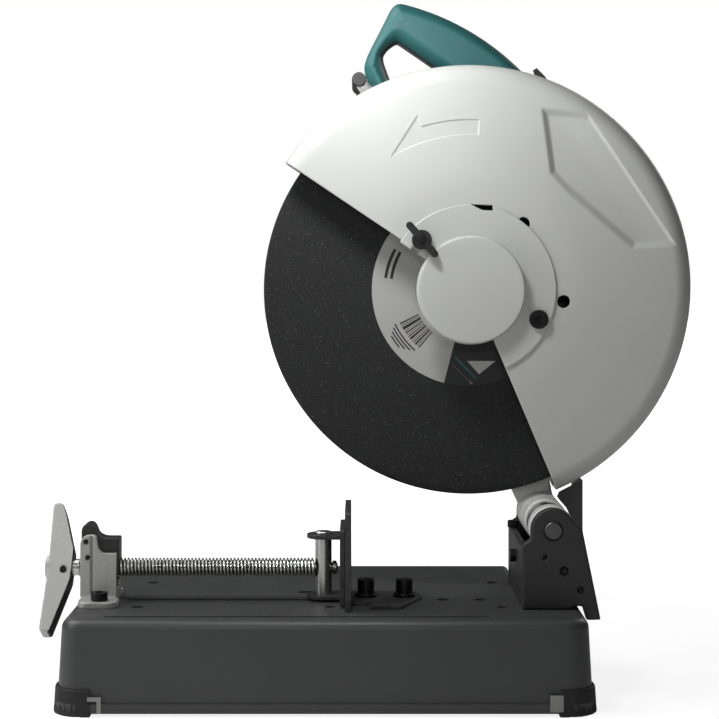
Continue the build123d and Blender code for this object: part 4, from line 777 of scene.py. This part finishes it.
def handle_shell(name, opening, sign):
    """One half of the handle as a pillow: its edge curls back to the parting plane all round."""
    outer, inner = rounded(HANDLE_OUTLINE, 0.8), rounded(opening, 0.9)
    points = list(outer) + list(inner)
    edges = [(i, (i + 1) % len(outer)) for i in range(len(outer))]
    edges += [(len(outer) + i, len(outer) + (i + 1) % len(inner)) for i in range(len(inner))]
    for distance in (0.12, 0.45, 1.0, 1.8, 2.8, 4.0, 5.4, 7.0, 9.0, 11.0):
        loose = np.concatenate([
            inset_points(outer, distance, turning(outer)), inset_points(inner, distance, -turning(inner)),
        ])
        away = np.minimum(-signed_distance(*loose.T, outer), signed_distance(*loose.T, inner))
        points += [tuple(p) for p in loose[away > distance * 0.94]]
    grid_x, grid_z = np.meshgrid(np.arange(-6, 152, 2.4), np.arange(434, 594, 2.4))
    spread = np.stack([grid_x.ravel(), grid_z.ravel()], 1)
    away = np.minimum(-signed_distance(*spread.T, outer), signed_distance(*spread.T, inner))
    points += [tuple(p) for p in spread[away > EDGE_RADIUS + 1]]
    for screw_x, screw_z in HANDLE_SCREWS:
        for ring in (2.4, 3.4, 3.7, 4.3):
            angles = np.arange(16) * math.pi / 8
            points += [(screw_x + ring * math.cos(a), screw_z + ring * math.sin(a)) for a in angles]
    flat, _, faces, _, _, _ = delaunay_2d_cdt([Vector(p) for p in points], edges, [], 0, 1e-4)
    flat = np.array([tuple(p) for p in flat])
    middles = np.array([flat[list(face)].mean(axis=0) for face in faces])
    stays = (signed_distance(*middles.T, outer) < 0) & (signed_distance(*middles.T, inner) > 0)
    x, z = flat.T
    outside, inside = -signed_distance(x, z, outer), signed_distance(x, z, inner)
    curl = np.clip(np.minimum(outside, inside) / EDGE_RADIUS, 0, 1)
    height = (GRIP_Y1 - GRIP_MID - 0.15) * np.sqrt(1 - (1 - curl) ** 2)
    # finger ribs along the top edge, and a shallow step round the grip
    top = eased((z - 548) / 8) * eased((x + 4) / 8) * eased((74 - x) / 8)
    band = eased((outside - 0.3) / 1.2) * eased((6.5 - outside) / 2)
    height -= 0.5 * top * band * (0.5 + 0.5 * np.cos(2 * math.pi * (x + 0.55 * z) / RIB_PITCH))
    height -= 0.7 * eased((7.6 - np.minimum(outside, inside)) / 0.8) * eased(np.minimum(outside, inside) / 3)
    if sign > 0:
        for screw_x, screw_z in HANDLE_SCREWS:
            height -= 3.2 * (np.hypot(x - screw_x, z - screw_z) < 3.55) * (height > 8)
    y = GRIP_MID + sign * (0.15 + height)
    order = slice(None, None, -sign)
    kept = [list(face)[order] for face, stay in zip(faces, stays) if stay]
    return thicken(mesh_object(name, np.stack([x, y, z], 1), kept, sharp=60), 2.4)


def build_handle():
    """The two halves of the D-handle."""
    stands_for(handle_shell("handle_front_shell", OPENING, -1), "handle_front")
    smaller = inset_points(OPENING, OPENING_INSET, turning(OPENING))
    stands_for(handle_shell("handle_back_shell", [tuple(p) for p in smaller], 1), "handle_back")


# ---------------------------------------------------------------- vise screw
def thread_mesh():
    """Points and faces of a right-handed thread along X, laid out along its helix."""
    turn_points = 36
    shape = [(0.0, THREAD_ROOT), (0.1, THREAD_ROOT), (0.35, THREAD_R), (0.72, THREAD_R), (0.97, THREAD_ROOT)]
    turns = math.ceil((THREAD_TO - THREAD_FROM) / THREAD_PITCH) + 2
    count = turns * turn_points
    points, faces = [], []
    for step in range(count + turn_points + 1):
        angle = 2 * math.pi * step / turn_points
        for share, radius in shape:
            along = THREAD_FROM + THREAD_PITCH * (step / turn_points + share - 1)
            along = min(max(along, THREAD_FROM), THREAD_TO)
            points.append((along, VISE_Y + radius * math.cos(angle), VISE_Z + radius * math.sin(angle)))
    width = len(shape)
    for step in range(count):
        for k in range(width):
            across = step * width + k + 1 if k < width - 1 else (step + turn_points) * width
            faces.append([step * width + k, across, across + width, (step + 1) * width + k])
    return points, faces


def build_vise_screw():
    """The vise screw: its thread, its plain end in the lever, and its journal and collar."""
    plain = [(-270, 0.01), (-270, 6.2), (-269.2, 7), (-247, 7), (THREAD_FROM, 6.6), (THREAD_FROM, 0.01)]
    core = [(THREAD_FROM, 5.8), (THREAD_TO, 5.8), (THREAD_TO, 4), (-32, 4), (-32, 5.2), (-31.6, 5.6)]
    core += [(-28.9, 5.6), (-28.5, 5.2), (-28.5, 4), (-28.1, 4), (-27.5, 3.2), (-27.5, 0.01)]
    turned = [lathe(profile, (VISE_Y, VISE_Z), 48, "X") for profile in (plain, core)]
    solid = joined(thread_mesh(), *turned)
    stands_for(mesh_object("vise_screw_thread", *solid, sharp=28), "vise_screw")


def build_pieces():
    """Every new piece: each takes the place of a plain CAD node, or is printed on the wheel's label."""
    build_guard()
    build_cover()
    build_wheel()
    build_label()
    build_handle()
    build_vise_screw()
    for node, voxel, rounds in (
        ("vise_bracket", 0.6, 3), ("vise_nut", 0.7, 5), ("pivot_bracket", 1.1, 4),
        ("gear_housing", 1.4, 5), ("rubber_feet", 1.0, 4), ("wing_nut", 0.5, 6), ("vise_handle", 0.8, 6),
    ):
        softened(node, voxel, rounds)
    for node, width in (
        ("fence", 0.8), ("vise_jaw", 0.5), ("spark_guard", 0.4), ("foot_clips", 0.3), ("bracket_bolts", 0.4),
        ("fence_bolts", 0.5), ("vise_bracket_fasteners", 0.4), ("cover_studs", 0.4), ("motor_end_cover", 0.6),
        ("gear_case_cover", 0.8), ("carry_straps", 0.5), ("brush_caps", 0.5), ("trigger", 0.6),
    ):
        beveled(node, width)


def finish_cad_nodes():
    """Gives each CAD node its finish."""
    for name, node in NODES.items():
        node.data.materials.clear()
        node.data.materials.append(finish_of(name))


finish_cad_nodes()
build_pieces()
build_camera()
build_studio()
